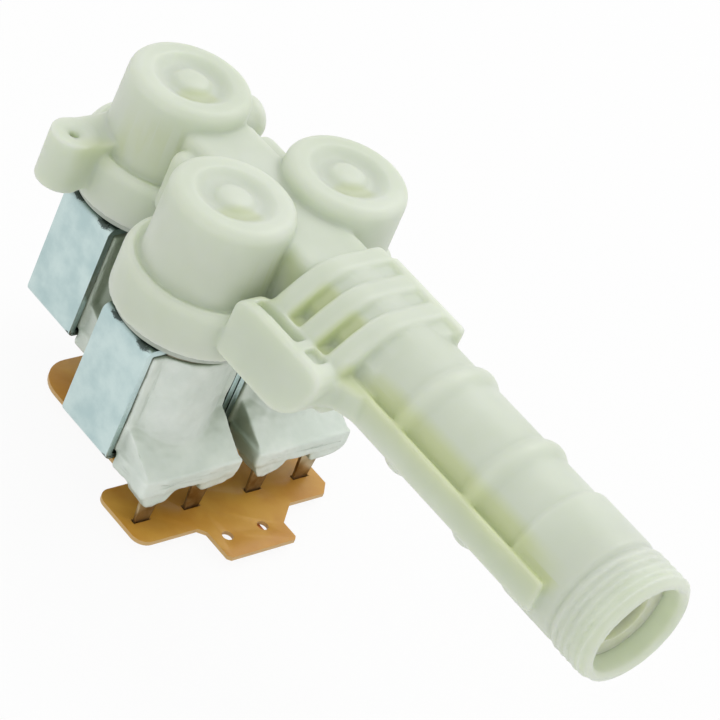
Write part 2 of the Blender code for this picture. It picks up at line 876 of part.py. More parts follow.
combineAll(body, manifoldForms, "UNION")
combineAll(body, manifoldCuts, "DIFFERENCE")
smoothShade(body)

# Pieces of each valve
cupFloorZ = seatZ - seatGap
membraneLow = cupFloorZ - membrane
beadLow = cupFloorZ - beadThickness
guideRimTop = beadLow - seatGap
guideStep = collarBottom - seatGap
insertTop = membraneLow - seatGap
insertLow = insertTop - insertThickness
guideInner = insertLow - diaphragmTravel - guideClear
sealTop = insertLow - seatGap
plungerTop = sealTop - sealStand
plungerRadius = sleeveRadius - sleeveWall - slideGap
plungerLow = plungerTop - plungerLength
sleeveInside = plungerLow - plungerTravel - sleeveRoom
sleeveBottom = sleeveInside - sleeveFloor
guideRingRadius = cupRadius - seatGap
guideRingInner = guideRingRadius - guideRim

diaphragmProfile = [
    (insertStem + seatGap, cupFloorZ),
    (seatRadius + seatLand, cupFloorZ),
    ((seatRadius + seatLand + guideRingInner) / 2.0, cupFloorZ - foldDepth),
    (guideRingInner, cupFloorZ),
    (cupRadius - seatGap, cupFloorZ),
    (cupRadius - seatGap, beadLow),
    (guideRingInner, beadLow),
    ((seatRadius + seatLand + guideRingInner) / 2.0, membraneLow - foldDepth),
    (seatRadius + seatLand, membraneLow),
    (insertStem + seatGap, membraneLow),
]
insertProfile = [
    (insertStem, insertTop + insertStemLength),
    (insertStem, insertTop),
    (insertRadius, insertTop),
    (insertRadius, insertLow + edgeBreak),
    (insertStem, insertLow),
    (pilotHole, insertLow),
    (pilotHole, insertTop + insertStemLength),
]
guideProfile = [
    (0.0, sleeveInside),
    (sleeveRadius - sleeveWall, sleeveInside),
    (sleeveRadius - sleeveWall, guideInner),
    (guideRingInner, guideInner),
    (guideRingInner, guideRimTop),
    (guideRingRadius, guideRimTop),
    (guideRingRadius, guideStep),
    (guideFlangeRadius, guideStep),
    (guideFlangeRadius, guideBottom),
    (sleeveRadius, guideBottom),
    (sleeveRadius, sleeveBottom + edgeBreak * 1.5),
    (sleeveRadius - edgeBreak * 1.5, sleeveBottom),
    (0.0, sleeveBottom),
]
sealBore = sealRadius + seatGap
sealLow = sealTop - sealLength
springRadius = plungerRadius - springInset
springBore = springRadius + springWire / 2.0 + seatGap
plungerProfile = [
    (0.0, sealLow - seatGap),
    (sealBore, sealLow - seatGap),
    (sealBore, plungerTop),
    (plungerRadius - edgeBreak, plungerTop),
    (plungerRadius, plungerTop - edgeBreak),
    (plungerRadius, plungerLow + edgeBreak),
    (plungerRadius - edgeBreak, plungerLow),
    (springBore, plungerLow),
    (springBore, plungerLow + springBoreDepth),
    (0.0, plungerLow + springBoreDepth),
]
sealProfile = [
    (0.0, sealTop),
    (sealRadius - edgeBreak, sealTop),
    (sealRadius, sealTop - edgeBreak),
    (sealRadius, sealLow),
    (0.0, sealLow),
]
bobbinTop = yokeTop - yokeSheet - seatGap
bobbinLow = yokeBottom + yokeSheet + seatGap
coverOuter = yokeWidth / 2.0 - yokeSheet - seatGap
coverInner = coverOuter - coverWall
bobbinFlange = coverInner - seatGap
bobbinBore = sleeveRadius + seatGap
bobbinBarrel = bobbinBore + bobbinWall
bobbinProfile = [
    (bobbinFlange, bobbinTop),
    (bobbinFlange, bobbinTop - bobbinWall),
    (bobbinBarrel, bobbinTop - bobbinWall),
    (bobbinBarrel, bobbinLow + bobbinWall),
    (bobbinFlange, bobbinLow + bobbinWall),
    (bobbinFlange, bobbinLow),
    (bobbinBore, bobbinLow),
    (bobbinBore, bobbinTop),
]
windingProfile = [
    (bobbinBarrel + seatGap + windingThickness, bobbinTop - bobbinWall - seatGap),
    (bobbinBarrel + seatGap + windingThickness, bobbinLow + bobbinWall + seatGap),
    (bobbinBarrel + seatGap, bobbinLow + bobbinWall + seatGap),
    (bobbinBarrel + seatGap, bobbinTop - bobbinWall - seatGap),
]
housingBack = yokeDepth / 2.0 + seatGap
housingTopZ = yokeBottom + yokeSheet + housingTop
housingLow = yokeBottom - housingBottom
lobeLow = housingLow - lobeDrop
terminalTop = lobeLow + terminalInset


def springPath():
    """Points of the return spring, from its seat in the sleeve up to the plunger."""
    low = sleeveInside + springWire / 2.0 + seatGap
    high = plungerLow + springBoreDepth - springWire / 2.0 - seatGap
    perTurn = 8
    count = springTurns * perTurn
    points = []
    for index in range(count + 1):
        angle = 2.0 * math.pi * index / perTurn
        height = low + (high - low) * index / count
        points.append((springRadius * math.cos(angle), springRadius * math.sin(angle), height))
    return points


def wire(name, points, radius, material, parent):
    curve = bpy.data.curves.new(name, "CURVE")
    curve.dimensions = "3D"
    curve.bevel_depth = radius
    curve.bevel_resolution = 0
    curve.use_fill_caps = True
    spline = curve.splines.new("POLY")
    spline.points.add(len(points) - 1)
    for point, place in zip(spline.points, points):
        point.co = (*place, 1.0)
    piece = bpy.data.objects.new(name, curve)
    piece.parent = parent
    curve.materials.append(material)
    partsCollection.objects.link(piece)
    return piece


def plateOutline(name, outlines, thickness, material, parent, location, rotation=(0.0, 0.0, 0.0)):
    """A flat plate from closed outlines, the first outside and the rest holes."""
    curve = bpy.data.curves.new(name, "CURVE")
    curve.dimensions = "2D"
    curve.fill_mode = "BOTH"
    curve.extrude = thickness / 2.0
    for outline in outlines:
        spline = curve.splines.new("POLY")
        spline.points.add(len(outline) - 1)
        for point, (across, along) in zip(spline.points, outline):
            point.co = (across, along, 0.0, 1.0)
        spline.use_cyclic_u = True
    piece = bpy.data.objects.new(name, curve)
    piece.location = location
    piece.rotation_euler = rotation
    piece.parent = parent
    curve.materials.append(material)
    partsCollection.objects.link(piece)
    return piece


for name, frame in valveFrames.items():
    turned("diaphragm_" + name, diaphragmProfile, rubberMaterial, fineSteps, closed=True, parent=frame)
    turned("diaphragm_insert_" + name, insertProfile, guideMaterial, steps=12, closed=True, parent=frame)
    turned("guide_tube_" + name, guideProfile, guideMaterial, steps=fineSteps, parent=frame)
    turned("plunger_" + name, plungerProfile, plungerMaterial, steps=innerSteps, parent=frame)
    turned("plunger_seal_" + name, sealProfile, rubberMaterial, steps=10, parent=frame)
    wire("plunger_spring_" + name, springPath(), springWire / 2.0, springMaterial, frame)
    turned("coil_bobbin_" + name, bobbinProfile, bobbinMaterial, innerSteps, closed=True, parent=frame)
    wound = "coil_winding_" + name
    turned(wound, windingProfile, copperMaterial, innerSteps, closed=True, parent=frame)

    yoke = box(
        "coil_yoke_" + name,
        (-yokeWidth / 2.0, -yokeDepth / 2.0, yokeBottom),
        (yokeWidth / 2.0, yokeDepth / 2.0, yokeTop),
        yokeMaterial,
        parent=frame,
    )
    bend = yoke.modifiers.new("bend", "BEVEL")
    bend.width = yokeSheet * 0.5
    bend.segments = 2
    bend.limit_method = "WEIGHT"
    weights = yoke.data.attributes.new("bevel_weight_edge", "FLOAT", "EDGE")
    for link in yoke.data.edges:
        ends = [yoke.data.vertices[corner].co for corner in link.vertices]
        weights.data[link.index].value = 1.0 if abs(ends[0].y - ends[1].y) > yokeDepth / 2.0 else 0.0
    window = box(
        "cut_yoke_window_" + name,
        (-yokeWidth / 2.0 + yokeSheet, -yokeDepth, yokeBottom + yokeSheet),
        (yokeWidth / 2.0 - yokeSheet, yokeDepth, yokeTop - yokeSheet),
        None,
        parent=frame,
        cutter=cutterCollection,
    )
    combine(yoke, window, "DIFFERENCE")
    hole = rod(
        "cut_yoke_hole_" + name,
        yokeHole,
        (0.0, 0.0, yokeBottom - cutBeyond),
        (0.0, 0.0, yokeTop + cutBeyond),
        None,
        parent=frame,
        cutter=cutterCollection,
    )
    combine(yoke, hole, "DIFFERENCE")

    cover = box(
        "coil_cover_" + name,
        (-coverOuter, -yokeDepth / 2.0 - coverProud, bobbinLow),
        (coverOuter, yokeDepth / 2.0 + coverProud, bobbinTop),
        coverMaterial,
        parent=frame,
    )
    wrap = rod(
        "form_wrap_" + name,
        coverOuter - wrapInset,
        (0.0, 0.0, bobbinLow + wrapInset),
        (0.0, 0.0, bobbinTop - wrapInset),
        None,
        steps=24,
        parent=frame,
        cutter=cutterCollection,
    )
    combine(cover, wrap, "UNION")
    housing = box(
        "form_housing_" + name,
        (-coverOuter, -housingFront, housingLow),
        (coverOuter, -housingBack, housingTopZ),
        None,
        bevel=housingRound,
        parent=frame,
        cutter=cutterCollection,
    )
    combine(cover, housing, "UNION")
    ramp = flatForm(
        "form_ramp_" + name,
        [
            (-yokeDepth * rampBack, rampTop),
            (-housingFront + rampInset * 2.0, housingTopZ + rampInset),
            (-housingFront + rampInset, housingTopZ - rampInset),
            (-yokeDepth * rampBack, housingTopZ - rampInset),
        ],
        -coverOuter + rampInset,
        coverOuter - rampInset,
        "X",
        parent=frame,
        cutter=cutterCollection,
    )
    combine(cover, ramp, "UNION")
    spool = rod(
        "cut_cover_bore_" + name,
        coverInner,
        (0.0, 0.0, bobbinLow - cutBeyond),
        (0.0, 0.0, bobbinTop + cutBeyond),
        None,
        steps=24,
        parent=frame,
        cutter=cutterCollection,
    )
    combine(cover, spool, "DIFFERENCE")
    for label, side in (("a", -1.0), ("b", 1.0)):
        near = side * lobeGap
        far = side * (coverOuter - housingRound)
        lobe = box(
            "form_lobe_%s_%s" % (name, label),
            (min(near, far), -housingFront + lobeSetback, lobeLow),
            (max(near, far), -terminalY + lobeDepth, housingLow + lobeRoot),
            None,
            bevel=lobeRound,
            parent=frame,
            cutter=cutterCollection,
        )
        combine(cover, lobe, "UNION")
        pinX = side * terminalPitch / 2.0
        slot = box(
            "cut_pin_slot_%s_%s" % (name, label),
            (
                pinX - terminalWidth / 2.0 - seatGap,
                -terminalY - terminalSheet / 2.0 - seatGap,
                lobeLow - cutBeyond,
            ),
            (
                pinX + terminalWidth / 2.0 + seatGap,
                -terminalY + terminalSheet / 2.0 + seatGap,
                terminalTop + seatGap,
            ),
            None,
            parent=frame,
            cutter=cutterCollection,
        )
        combine(cover, slot, "DIFFERENCE")
        half = terminalWidth / 2.0
        leg = terminalLegWidth / 2.0
        shoulderZ = boardTop + terminalStand
        outline = [
            (half, terminalTop),
            (-half, terminalTop),
            (-half, lobeLow - seatGap),
            (-leg, shoulderZ),
            (-leg, legTip),
            (leg, legTip),
            (leg, shoulderZ),
            (half, lobeLow - seatGap),
        ]
        plateOutline(
            "terminal_%s_%s" % (name, label),
            [outline],
            terminalSheet,
            terminalMaterial,
            frame,
            (pinX, -terminalY, 0.0),
            (math.radians(90.0), 0.0, 0.0),
        )
        joint = turned(
            "solder_%s_%s" % (name, label),
            [
                (0.0, boardBottom - seatGap),
                (solderRadius, boardBottom - seatGap),
                (solderRadius * 0.72, boardBottom - seatGap - solderHeight * 0.6),
                (solderRadius * 0.5, boardBottom - seatGap - solderHeight * 0.85),
                (0.0, boardBottom - seatGap - solderHeight * 0.85),
            ],
            solderMaterial,
            steps=8,
            parent=frame,
            location=(pinX, -terminalY, 0.0),
        )
        legGap = box(
            "cut_solder_%s_%s" % (name, label),
            (pinX - leg - seatGap, -terminalY - terminalSheet / 2.0 - seatGap, legTip - cutBeyond),
            (pinX + leg + seatGap, -terminalY + terminalSheet / 2.0 + seatGap, boardTop),
            None,
            parent=frame,
            cutter=cutterCollection,
        )
        combine(joint, legGap, "DIFFERENCE")
    smoothShade(cover)

# Circuit board: a cross bar, a tail under the rear coil and a connector tab
outline = []
outline += arc(-barHalf + barCorner, -barFront + barCorner, barCorner, 180.0, 270.0, 4)
outline += [(tabLeft - tabFillet, -barFront), (tabLeft, -barFront - tabFillet)]
outline += [(tabLeft, -tabFront + tabCorner), (tabLeft + tabCorner, -tabFront)]
outline += [(tabRight - tabCorner, -tabFront), (tabRight, -tabFront + tabCorner)]
outline += [(tabRight, -barFront - tabShoulder), (tabRight + tabShoulderReach, -barFront)]
outline += [(barHalf - barChamfer, -barFront), (barHalf, -barFront + barChamfer)]
outline += arc(barHalf - barCorner, -barBack - barCorner, barCorner, 0.0, 90.0, 4)
outline += [(tailHalf, -barBack)]
outline += arc(tailHalf - tailCorner, tailBack - tailCorner, tailCorner, 0.0, 90.0, 4)
outline += arc(-tailHalf + tailCorner, tailBack - tailCorner, tailCorner, 90.0, 180.0, 4)
outline += [(-tailHalf, -barBack)]
outline += arc(-barHalf + barCorner, -barBack - barCorner, barCorner, 90.0, 180.0, 4)
outlines = [outline]
for name, place in valvePlaces.items():
    for side in (-1.0, 1.0):
        slotX = place[0] + side * terminalPitch / 2.0
        slotY = place[1] - terminalY
        halfX = terminalLegWidth / 2.0 + seatGap
        halfY = terminalSheet / 2.0 + seatGap
        outlines.append([
            (slotX - halfX, slotY - halfY),
            (slotX + halfX, slotY - halfY),
            (slotX + halfX, slotY + halfY),
            (slotX - halfX, slotY + halfY),
        ])
for side in (-1.0, 1.0):
    outlines.append(arc(tabHoleX + side * tabHolePitch / 2.0, -tabHoleY, tabHole, 0.0, 330.0, 11))
plateOutline(
    "circuit_board",
    outlines,
    boardThickness,
    boardMaterial,
    manifoldFrame,
    (0.0, 0.0, (boardTop + boardBottom) / 2.0),
)

# Inlet strainer and the flow regulator behind it
rimRadius = mouthRadius - seatGap
basketRadius = regulatorBore - strainerTaper
rimFront = inletEnd - strainerInset
strainer = turned(
    "inlet_strainer",
    [
        (0.0, rimFront - strainerDepth + strainerWall),
        (basketRadius - strainerWall - strainerTaper, rimFront - strainerDepth + strainerWall),
        (basketRadius - strainerWall, rimFront),
        (rimRadius, rimFront),
        (rimRadius, rimFront - strainerRim),
        (basketRadius, rimFront - strainerRim),
        (basketRadius - strainerTaper, rimFront - strainerDepth),
        (0.0, rimFront - strainerDepth),
    ],
    strainerMaterial,
    steps=24,
    axis="Y",
)
slotCount = int(2.0 * (basketRadius - strainerLand) / strainerPitch)
for index in range(slotCount):
    slotX = (index - (slotCount - 1) / 2.0) * strainerPitch
    reach = math.sqrt(max((basketRadius - strainerLand) ** 2 - slotX ** 2, 0.0))
    slot = box(
        "cut_strainer_%d" % index,
        (slotX - strainerSlot / 2.0, -rimFront + strainerDepth - strainerCut, -reach),
        (slotX + strainerSlot / 2.0, -rimFront + strainerDepth + cutBeyond, reach),
        None,
        cutter=cutterCollection,
    )
    combine(strainer, slot, "DIFFERENCE")
regulatorFront = regulatorEnd + seatGap + regulatorThickness
turned(
    "regulator_ring",
    [
        (regulatorBore - seatGap, regulatorFront),
        (regulatorBore - seatGap, regulatorEnd + seatGap),
        (regulatorHole + regulatorFlare, regulatorEnd + seatGap),
        (regulatorHole, regulatorFront - regulatorThroat),
        (regulatorHole + regulatorFlare * 0.75, regulatorFront),
    ],
    rubberMaterial,
    steps=20,
    closed=True,
    axis="Y",
)
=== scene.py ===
import math

import bmesh
import bpy
from mathutils import Matrix, Vector, noise


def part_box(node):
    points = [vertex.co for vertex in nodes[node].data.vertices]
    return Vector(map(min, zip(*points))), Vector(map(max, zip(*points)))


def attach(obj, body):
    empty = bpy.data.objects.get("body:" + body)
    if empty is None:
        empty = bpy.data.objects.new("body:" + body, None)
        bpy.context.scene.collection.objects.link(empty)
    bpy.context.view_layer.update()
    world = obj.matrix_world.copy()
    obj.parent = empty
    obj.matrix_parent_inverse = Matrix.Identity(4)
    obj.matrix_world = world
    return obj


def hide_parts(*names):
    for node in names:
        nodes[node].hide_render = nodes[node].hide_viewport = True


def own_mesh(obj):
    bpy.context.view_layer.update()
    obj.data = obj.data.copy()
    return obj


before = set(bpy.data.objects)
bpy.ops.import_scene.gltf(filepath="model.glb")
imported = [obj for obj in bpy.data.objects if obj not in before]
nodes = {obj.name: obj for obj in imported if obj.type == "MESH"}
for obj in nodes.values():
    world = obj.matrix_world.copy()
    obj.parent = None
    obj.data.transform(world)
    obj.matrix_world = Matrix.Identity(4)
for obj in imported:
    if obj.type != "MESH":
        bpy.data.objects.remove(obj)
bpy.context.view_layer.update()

print("frame loaded:", len(nodes), "nodes")

# Every form below is drawn in millimetres round the inlet axis: X across the front pair,
# Y along the tube with the thread at -Y, Z up. One matrix takes it to the frame.
lowRear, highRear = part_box("guide_tube_rear")
lowLeft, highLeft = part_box("guide_tube_left")
lowRight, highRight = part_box("guide_tube_right")
lowMouth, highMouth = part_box("inlet_strainer")
rowY = (lowLeft.y + highLeft.y) / 2.0
axisZ = (lowMouth.z + highMouth.z) / 2.0
toFrame = Matrix.Translation((0.0, rowY, axisZ)) @ Matrix.Scale(0.001, 4)
halfPair = (highRight.x + lowRight.x) * 500.0
rowSpacing = ((lowRear.y + highRear.y) / 2.0 - rowY) * 1000.0
valves = {"rear": (0.0, rowSpacing), "left": (-halfPair, 0.0), "right": (halfPair, 0.0)}


def linear(code):
    parts = [int(code[place:place + 2], 16) / 255.0 for place in (0, 2, 4)]
    return (*[part / 12.92 if part <= 0.04045 else ((part + 0.055) / 1.055) ** 2.4 for part in parts], 1.0)


def addNode(tree, kind, links=None, **settings):
    node = tree.nodes.new(kind)
    for name, value in settings.items():
        setattr(node, name, value)
    for socket, value in (links or {}).items():
        if isinstance(value, bpy.types.NodeSocket):
            tree.links.new(value, node.inputs[socket])
        else:
            node.inputs[socket].default_value = value
    return node


# Materials: patches of two colours, a fine grain in the relief, and uneven gloss

def surface(name, look):
    material = bpy.data.materials.new(name)
    material.use_nodes = True
    tree = material.node_tree
    shader = tree.nodes["Principled BSDF"]
    place = addNode(tree, "ShaderNodeTexCoord").outputs["Object"]
    patch = addNode(tree, "ShaderNodeTexNoise", {
        "Vector": place, "Scale": 1000.0 / look["patchSize"], "Detail": 3.0, "Roughness": 0.55})
    grain = addNode(tree, "ShaderNodeTexNoise", {
        "Vector": place, "Scale": 1000.0 / look["grainSize"], "Detail": 2.0})
    spread = addNode(tree, "ShaderNodeMapRange", {
        "Value": patch.outputs["Fac"], "From Min": 0.3, "From Max": 0.7}, interpolation_type="SMOOTHSTEP")
    colour = addNode(tree, "ShaderNodeMix", {
        "Factor": spread.outputs["Result"], 6: linear(look["dark"]), 7: linear(look["light"])},
        data_type="RGBA")
    gloss = addNode(tree, "ShaderNodeMapRange", {
        "Value": grain.outputs["Fac"], "From Min": 0.3, "From Max": 0.7,
        "To Min": look["rough"][0], "To Max": look["rough"][1]})
    relief = addNode(tree, "ShaderNodeBump", {
        "Height": grain.outputs["Fac"], "Distance": look["grainDepth"] / 1000.0, "Strength": 1.0})
    tree.links.new(colour.outputs[2], shader.inputs["Base Color"])
    tree.links.new(gloss.outputs["Result"], shader.inputs["Roughness"])
    tree.links.new(relief.outputs["Normal"], shader.inputs["Normal"])
    for socket, value in look.get("sockets", {}).items():
        shader.inputs[socket].default_value = value
    return material


def layOver(material, factor, code):
    # lays another colour over what the shader shows, where factor is 1
    tree = material.node_tree
    shader = tree.nodes["Principled BSDF"]
    below = shader.inputs["Base Color"].links[0].from_socket
    over = addNode(tree, "ShaderNodeMix", {"Factor": factor, 6: below, 7: linear(code)}, data_type="RGBA")
    tree.links.new(over.outputs[2], shader.inputs["Base Color"])
    return over


def paintRecessShade(material, distance, amount, code, alone=True):
    # paints shade into hollows: a darker tint, up to amount, where the surroundings shut out the light; with
    # alone the other pieces don't count
    tree = material.node_tree
    depth = addNode(tree, "ShaderNodeAmbientOcclusion", {"Distance": distance / 1000.0},
                    only_local=alone, samples=8)
    share = addNode(tree, "ShaderNodeMapRange", {
        "Value": depth.outputs["AO"], "From Min": 0.85, "From Max": 0.30, "To Min": 0.0, "To Max": amount})
    return layOver(material, share.outputs["Result"], code)


# natural polyamide 66, injection moulded: milky and waxy; light goes some millimetres in and
# turns yellow-green where it meets more plastic before it comes out
mouldedNylon = surface("mouldedNylon", {
    "light": "DCE3D4", "dark": "D4DCCA", "patchSize": 24.0, "grainSize": 1.1, "grainDepth": 0.010,
    "rough": (0.38, 0.50), "sockets": {
        "IOR": 1.53, "Subsurface Weight": 0.95, "Subsurface Radius": (1.0, 1.0, 0.8),
        "Subsurface Scale": 0.0048}})
# painted shade: a yellow-green tint in the manifold's hollows, by how much the body shuts out the light
paintRecessShade(mouldedNylon, 7.0, 0.15, "CBD4AE")
# painted shade: the thickness attribute lays an olive tint beside the keel, between the ribs, by the rail and
# ear and before each boss
paintedShadeShare = addNode(mouldedNylon.node_tree, "ShaderNodeAttribute", attribute_name="thickness")
layOver(mouldedNylon, paintedShadeShare.outputs["Fac"], "CDD6A6")

# white polyamide wrap over the coil, moulded in a polished tool: smooth, a little glossy
wrapNylon = surface("wrapNylon", {
    "light": "EDF4EC", "dark": "DFE8DF", "patchSize": 10.0, "grainSize": 0.9, "grainDepth": 0.012,
    "rough": (0.36, 0.46), "sockets": {
        "IOR": 1.53, "Subsurface Weight": 0.35, "Subsurface Radius": (1.0, 1.0, 0.9),
        "Subsurface Scale": 0.0012}})
# painted shade: the wrap darkens to grey-green where the manifold, straps and other covers shut out the light
paintRecessShade(wrapNylon, 24.0, 0.95, "8D9A82", False)

# glass-filled polyamide of the guide tubes: greyer and duller, with fibre grain
filledNylon = surface("filledNylon", {
    "light": "BFC6BC", "dark": "AEB6AA", "patchSize": 6.0, "grainSize": 0.4, "grainDepth": 0.02,
    "rough": (0.48, 0.62), "sockets": {"IOR": 1.54}})

# polybutylene bobbin, cream
bobbinPolyester = surface("bobbinPolyester", {
    "light": "D6D0BC", "dark": "C9C1A8", "patchSize": 8.0, "grainSize": 0.5, "grainDepth": 0.01,
    "rough": (0.42, 0.52), "sockets": {"IOR": 1.57}})

# black rubber: matt, with a faint mould bloom
mouldedRubber = surface("mouldedRubber", {
    "light": "2E2E2F", "dark": "1D1D1E", "patchSize": 3.0, "grainSize": 0.3, "grainDepth": 0.02,
    "rough": (0.62, 0.80), "sockets": {"IOR": 1.52}})

# hot-dip galvanised sheet: pale bluish zinc, faint patches some 7 mm across, soft gloss
galvanisedSheet = surface("galvanisedSheet", {
    "light": "CCDEDC", "dark": "B6CCCC", "patchSize": 7.0, "grainSize": 0.35, "grainDepth": 0.004,
    "rough": (0.34, 0.46), "sockets": {"Metallic": 1.0}})
# painted shade: the zinc goes dark grey-green where covers, collars and other straps nearby shut out the
# light, standing in for shade and dim reflections there
paintRecessShade(galvanisedSheet, 14.0, 0.95, "3E4F44", False)
sheetTree = galvanisedSheet.node_tree

# each strap's points know their place in mm from their own valve's axis
valvePlace = addNode(sheetTree, "ShaderNodeAttribute", attribute_name="valvePlace")
onSheet = addNode(sheetTree, "ShaderNodeSeparateXYZ", {0: valvePlace.outputs["Vector"]})
crackle = addNode(sheetTree, "ShaderNodeTexNoise", {
    "Vector": valvePlace.outputs["Vector"], "Scale": 2.4, "Detail": 6.0, "Roughness": 0.8})


def band(value, middle, reach):
    # 1 at the middle, falling to 0 at the reach on either side
    away = addNode(sheetTree, "ShaderNodeMath", {0: value, 1: middle}, operation="SUBTRACT")
    size = addNode(sheetTree, "ShaderNodeMath", {0: away.outputs[0]}, operation="ABSOLUTE")
    return addNode(sheetTree, "ShaderNodeMapRange", {
        "Value": size.outputs[0], "From Max": reach, "To Min": 1.0, "To Max": 0.0}).outputs[0]


def product(first, second):
    return addNode(sheetTree, "ShaderNodeMath", {0: first, 1: second}, operation="MULTIPLY").outputs[0]


# the zinc has chipped and gone dark in crumbs along the upper bend and at the lower corner
chipZones = [
    {"z": -17.5, "zReach": 1.4, "y": 4.0, "yReach": 5.0},
    {"z": -17.6, "zReach": 1.8, "y": -5.0, "yReach": 5.5},
    {"z": -45.6, "zReach": 1.3, "y": -7.2, "yReach": 2.2}]
for zone in chipZones:
    inHeight = band(onSheet.outputs["Z"], zone["z"], zone["zReach"])
    inDepth = band(onSheet.outputs["Y"], zone["y"], zone["yReach"])
    lifted = product(product(inHeight, inDepth), crackle.outputs["Fac"])
    chip = addNode(sheetTree, "ShaderNodeMapRange", {
        "Value": lifted, "From Min": 0.28, "From Max": 0.33, "To Max": 0.9})
    layOver(galvanisedSheet, chip.outputs["Result"], "39403C")

# ground magnetic steel of the plungers
groundSteel = surface("groundSteel", {
    "light": "C6C7C8", "dark": "AEB0B2", "patchSize": 2.0, "grainSize": 0.12, "grainDepth": 0.004,
    "rough": (0.22, 0.34), "sockets": {"Metallic": 1.0}})

# drawn spring wire
drawnWire = surface("drawnWire", {
    "light": "C9C9C6", "dark": "A9A9A6", "patchSize": 1.5, "grainSize": 0.15, "grainDepth": 0.003,
    "rough": (0.20, 0.32), "sockets": {"Metallic": 1.0}})

# enamelled copper wire on the coil
enamelledCopper = surface("enamelledCopper", {
    "light": "C7773B", "dark": "9E5424", "patchSize": 2.2, "grainSize": 0.25, "grainDepth": 0.01,
    "rough": (0.24, 0.36), "sockets": {"Metallic": 1.0}})

# tinned brass strip: dull grey tin, browned by the soldering heat in patches
tinnedBrass = surface("tinnedBrass", {
    "light": "B3A382", "dark": "8A7145", "patchSize": 3.5, "grainSize": 0.3, "grainDepth": 0.006,
    "rough": (0.34, 0.48), "sockets": {"Metallic": 1.0}})

# tin solder: bright, a little grainy where it froze
tinSolder = surface("tinSolder", {
    "light": "CBCCCB", "dark": "A4A5A4", "patchSize": 1.4, "grainSize": 0.3, "grainDepth": 0.02,
    "rough": (0.22, 0.40), "sockets": {"Metallic": 1.0}})

# etched copper tracks under clear lacquer
lacqueredCopper = surface("lacqueredCopper", {
    "light": "C9844F", "dark": "A9673A", "patchSize": 4.0, "grainSize": 0.4, "grainDepth": 0.006,
    "rough": (0.30, 0.42), "sockets": {"Metallic": 1.0, "Coat Weight": 0.3, "Coat Roughness": 0.2}})

# phenolic paper laminate: brown-orange, mottled, paler and fibrous on the punched edges
paperLaminate = surface("paperLaminate", {
    "light": "DAA440", "dark": "C88A2C", "patchSize": 12.0, "grainSize": 0.5, "grainDepth": 0.010,
    "rough": (0.38, 0.52), "sockets": {"IOR": 1.55}})
boardTree = paperLaminate.node_tree
boardNormal = addNode(boardTree, "ShaderNodeNewGeometry").outputs["Normal"]
facing = addNode(boardTree, "ShaderNodeSeparateXYZ", {0: boardNormal})
flatness = addNode(boardTree, "ShaderNodeMath", {0: facing.outputs["Z"]}, operation="ABSOLUTE")
edgeShare = addNode(boardTree, "ShaderNodeMapRange", {
    "Value": flatness.outputs[0], "From Min": 0.95, "From Max": 0.4, "To Max": 0.7})
layOver(paperLaminate, edgeShare.outputs["Result"], "D2B27A")

# yellowish polyamide of the strainer
strainerNylon = surface("strainerNylon", {
    "light": "E2E8CC", "dark": "D9E0BC", "patchSize": 4.0, "grainSize": 0.4, "grainDepth": 0.01,
    "rough": (0.42, 0.54), "sockets": {"IOR": 1.53, "Subsurface Weight": 0.9,
                                      "Subsurface Radius": (1.0, 1.0, 0.7), "Subsurface Scale": 0.004}})
print("materials made")


# Shapes

def meshObject(name, shape):
    bmesh.ops.recalc_face_normals(shape, faces=shape.faces)
    mesh = bpy.data.meshes.new(name)
    shape.to_mesh(mesh)
    shape.free()
    made = bpy.data.objects.new(name, mesh)
    bpy.context.scene.collection.objects.link(made)
    return made


def arc(centreX, centreY, radius, startAngle, endAngle, count):
    angles = [math.radians(startAngle + (endAngle - startAngle) * step / count) for step in range(count + 1)]
    return [(centreX + radius * math.cos(angle), centreY + radius * math.sin(angle)) for angle in angles]


def soften(points, rounding, count=4, loop=False):
    # rounds the corners of an outline, each by no more than its shorter side allows
    made = []
    for index, point in enumerate(points):
        corner = Vector(point)
        before = Vector(points[index - 1]) - corner
        after = Vector(points[(index + 1) % len(points)]) - corner
        if not loop and index in (0, len(points) - 1):
            made.append(tuple(corner))
            continue
        size = min(rounding, before.length * 0.45, after.length * 0.45)
        start, end = corner + before.normalized() * size, corner + after.normalized() * size
        for step in range(count + 1):
            share = step / count
            near, far = (1.0 - share) ** 2, share ** 2
            made.append(tuple(start * near + corner * 2.0 * share * (1.0 - share) + end * far))
    return made


def lathe(profile, centre=(0.0, 0.0), steps=96, closed=False, along="Z"):
    # profile of (radius, height) pairs; along "Y" puts height h at y = -h
    shape = bmesh.new()
    rings = []
    for radius, height in profile:
        if radius < 0.0001:
            rings.append([shape.verts.new((0.0, 0.0, height))])
            continue
        rings.append([shape.verts.new((
            radius * math.cos(2.0 * math.pi * step / steps),
            radius * math.sin(2.0 * math.pi * step / steps), height)) for step in range(steps)])
    pairs = list(zip(rings, rings[1:]))
    if closed:
        pairs.append((rings[-1], rings[0]))
    for first, second in pairs:
        if len(first) == 1 and len(second) == 1:
            continue
        for step in range(steps):
            after = (step + 1) % steps
            if len(first) == 1:
                shape.faces.new((first[0], second[step], second[after]))
            elif len(second) == 1:
                shape.faces.new((first[step], second[0], first[after]))
            else:
                shape.faces.new((first[step], second[step], second[after], first[after]))
    if along == "Y":
        bmesh.ops.rotate(shape, verts=shape.verts, matrix=Matrix.Rotation(math.radians(90.0), 3, "X"))
    bmesh.ops.translate(shape, verts=shape.verts, vec=(centre[0], centre[1], 0.0))
    return meshObject("lathe", shape)


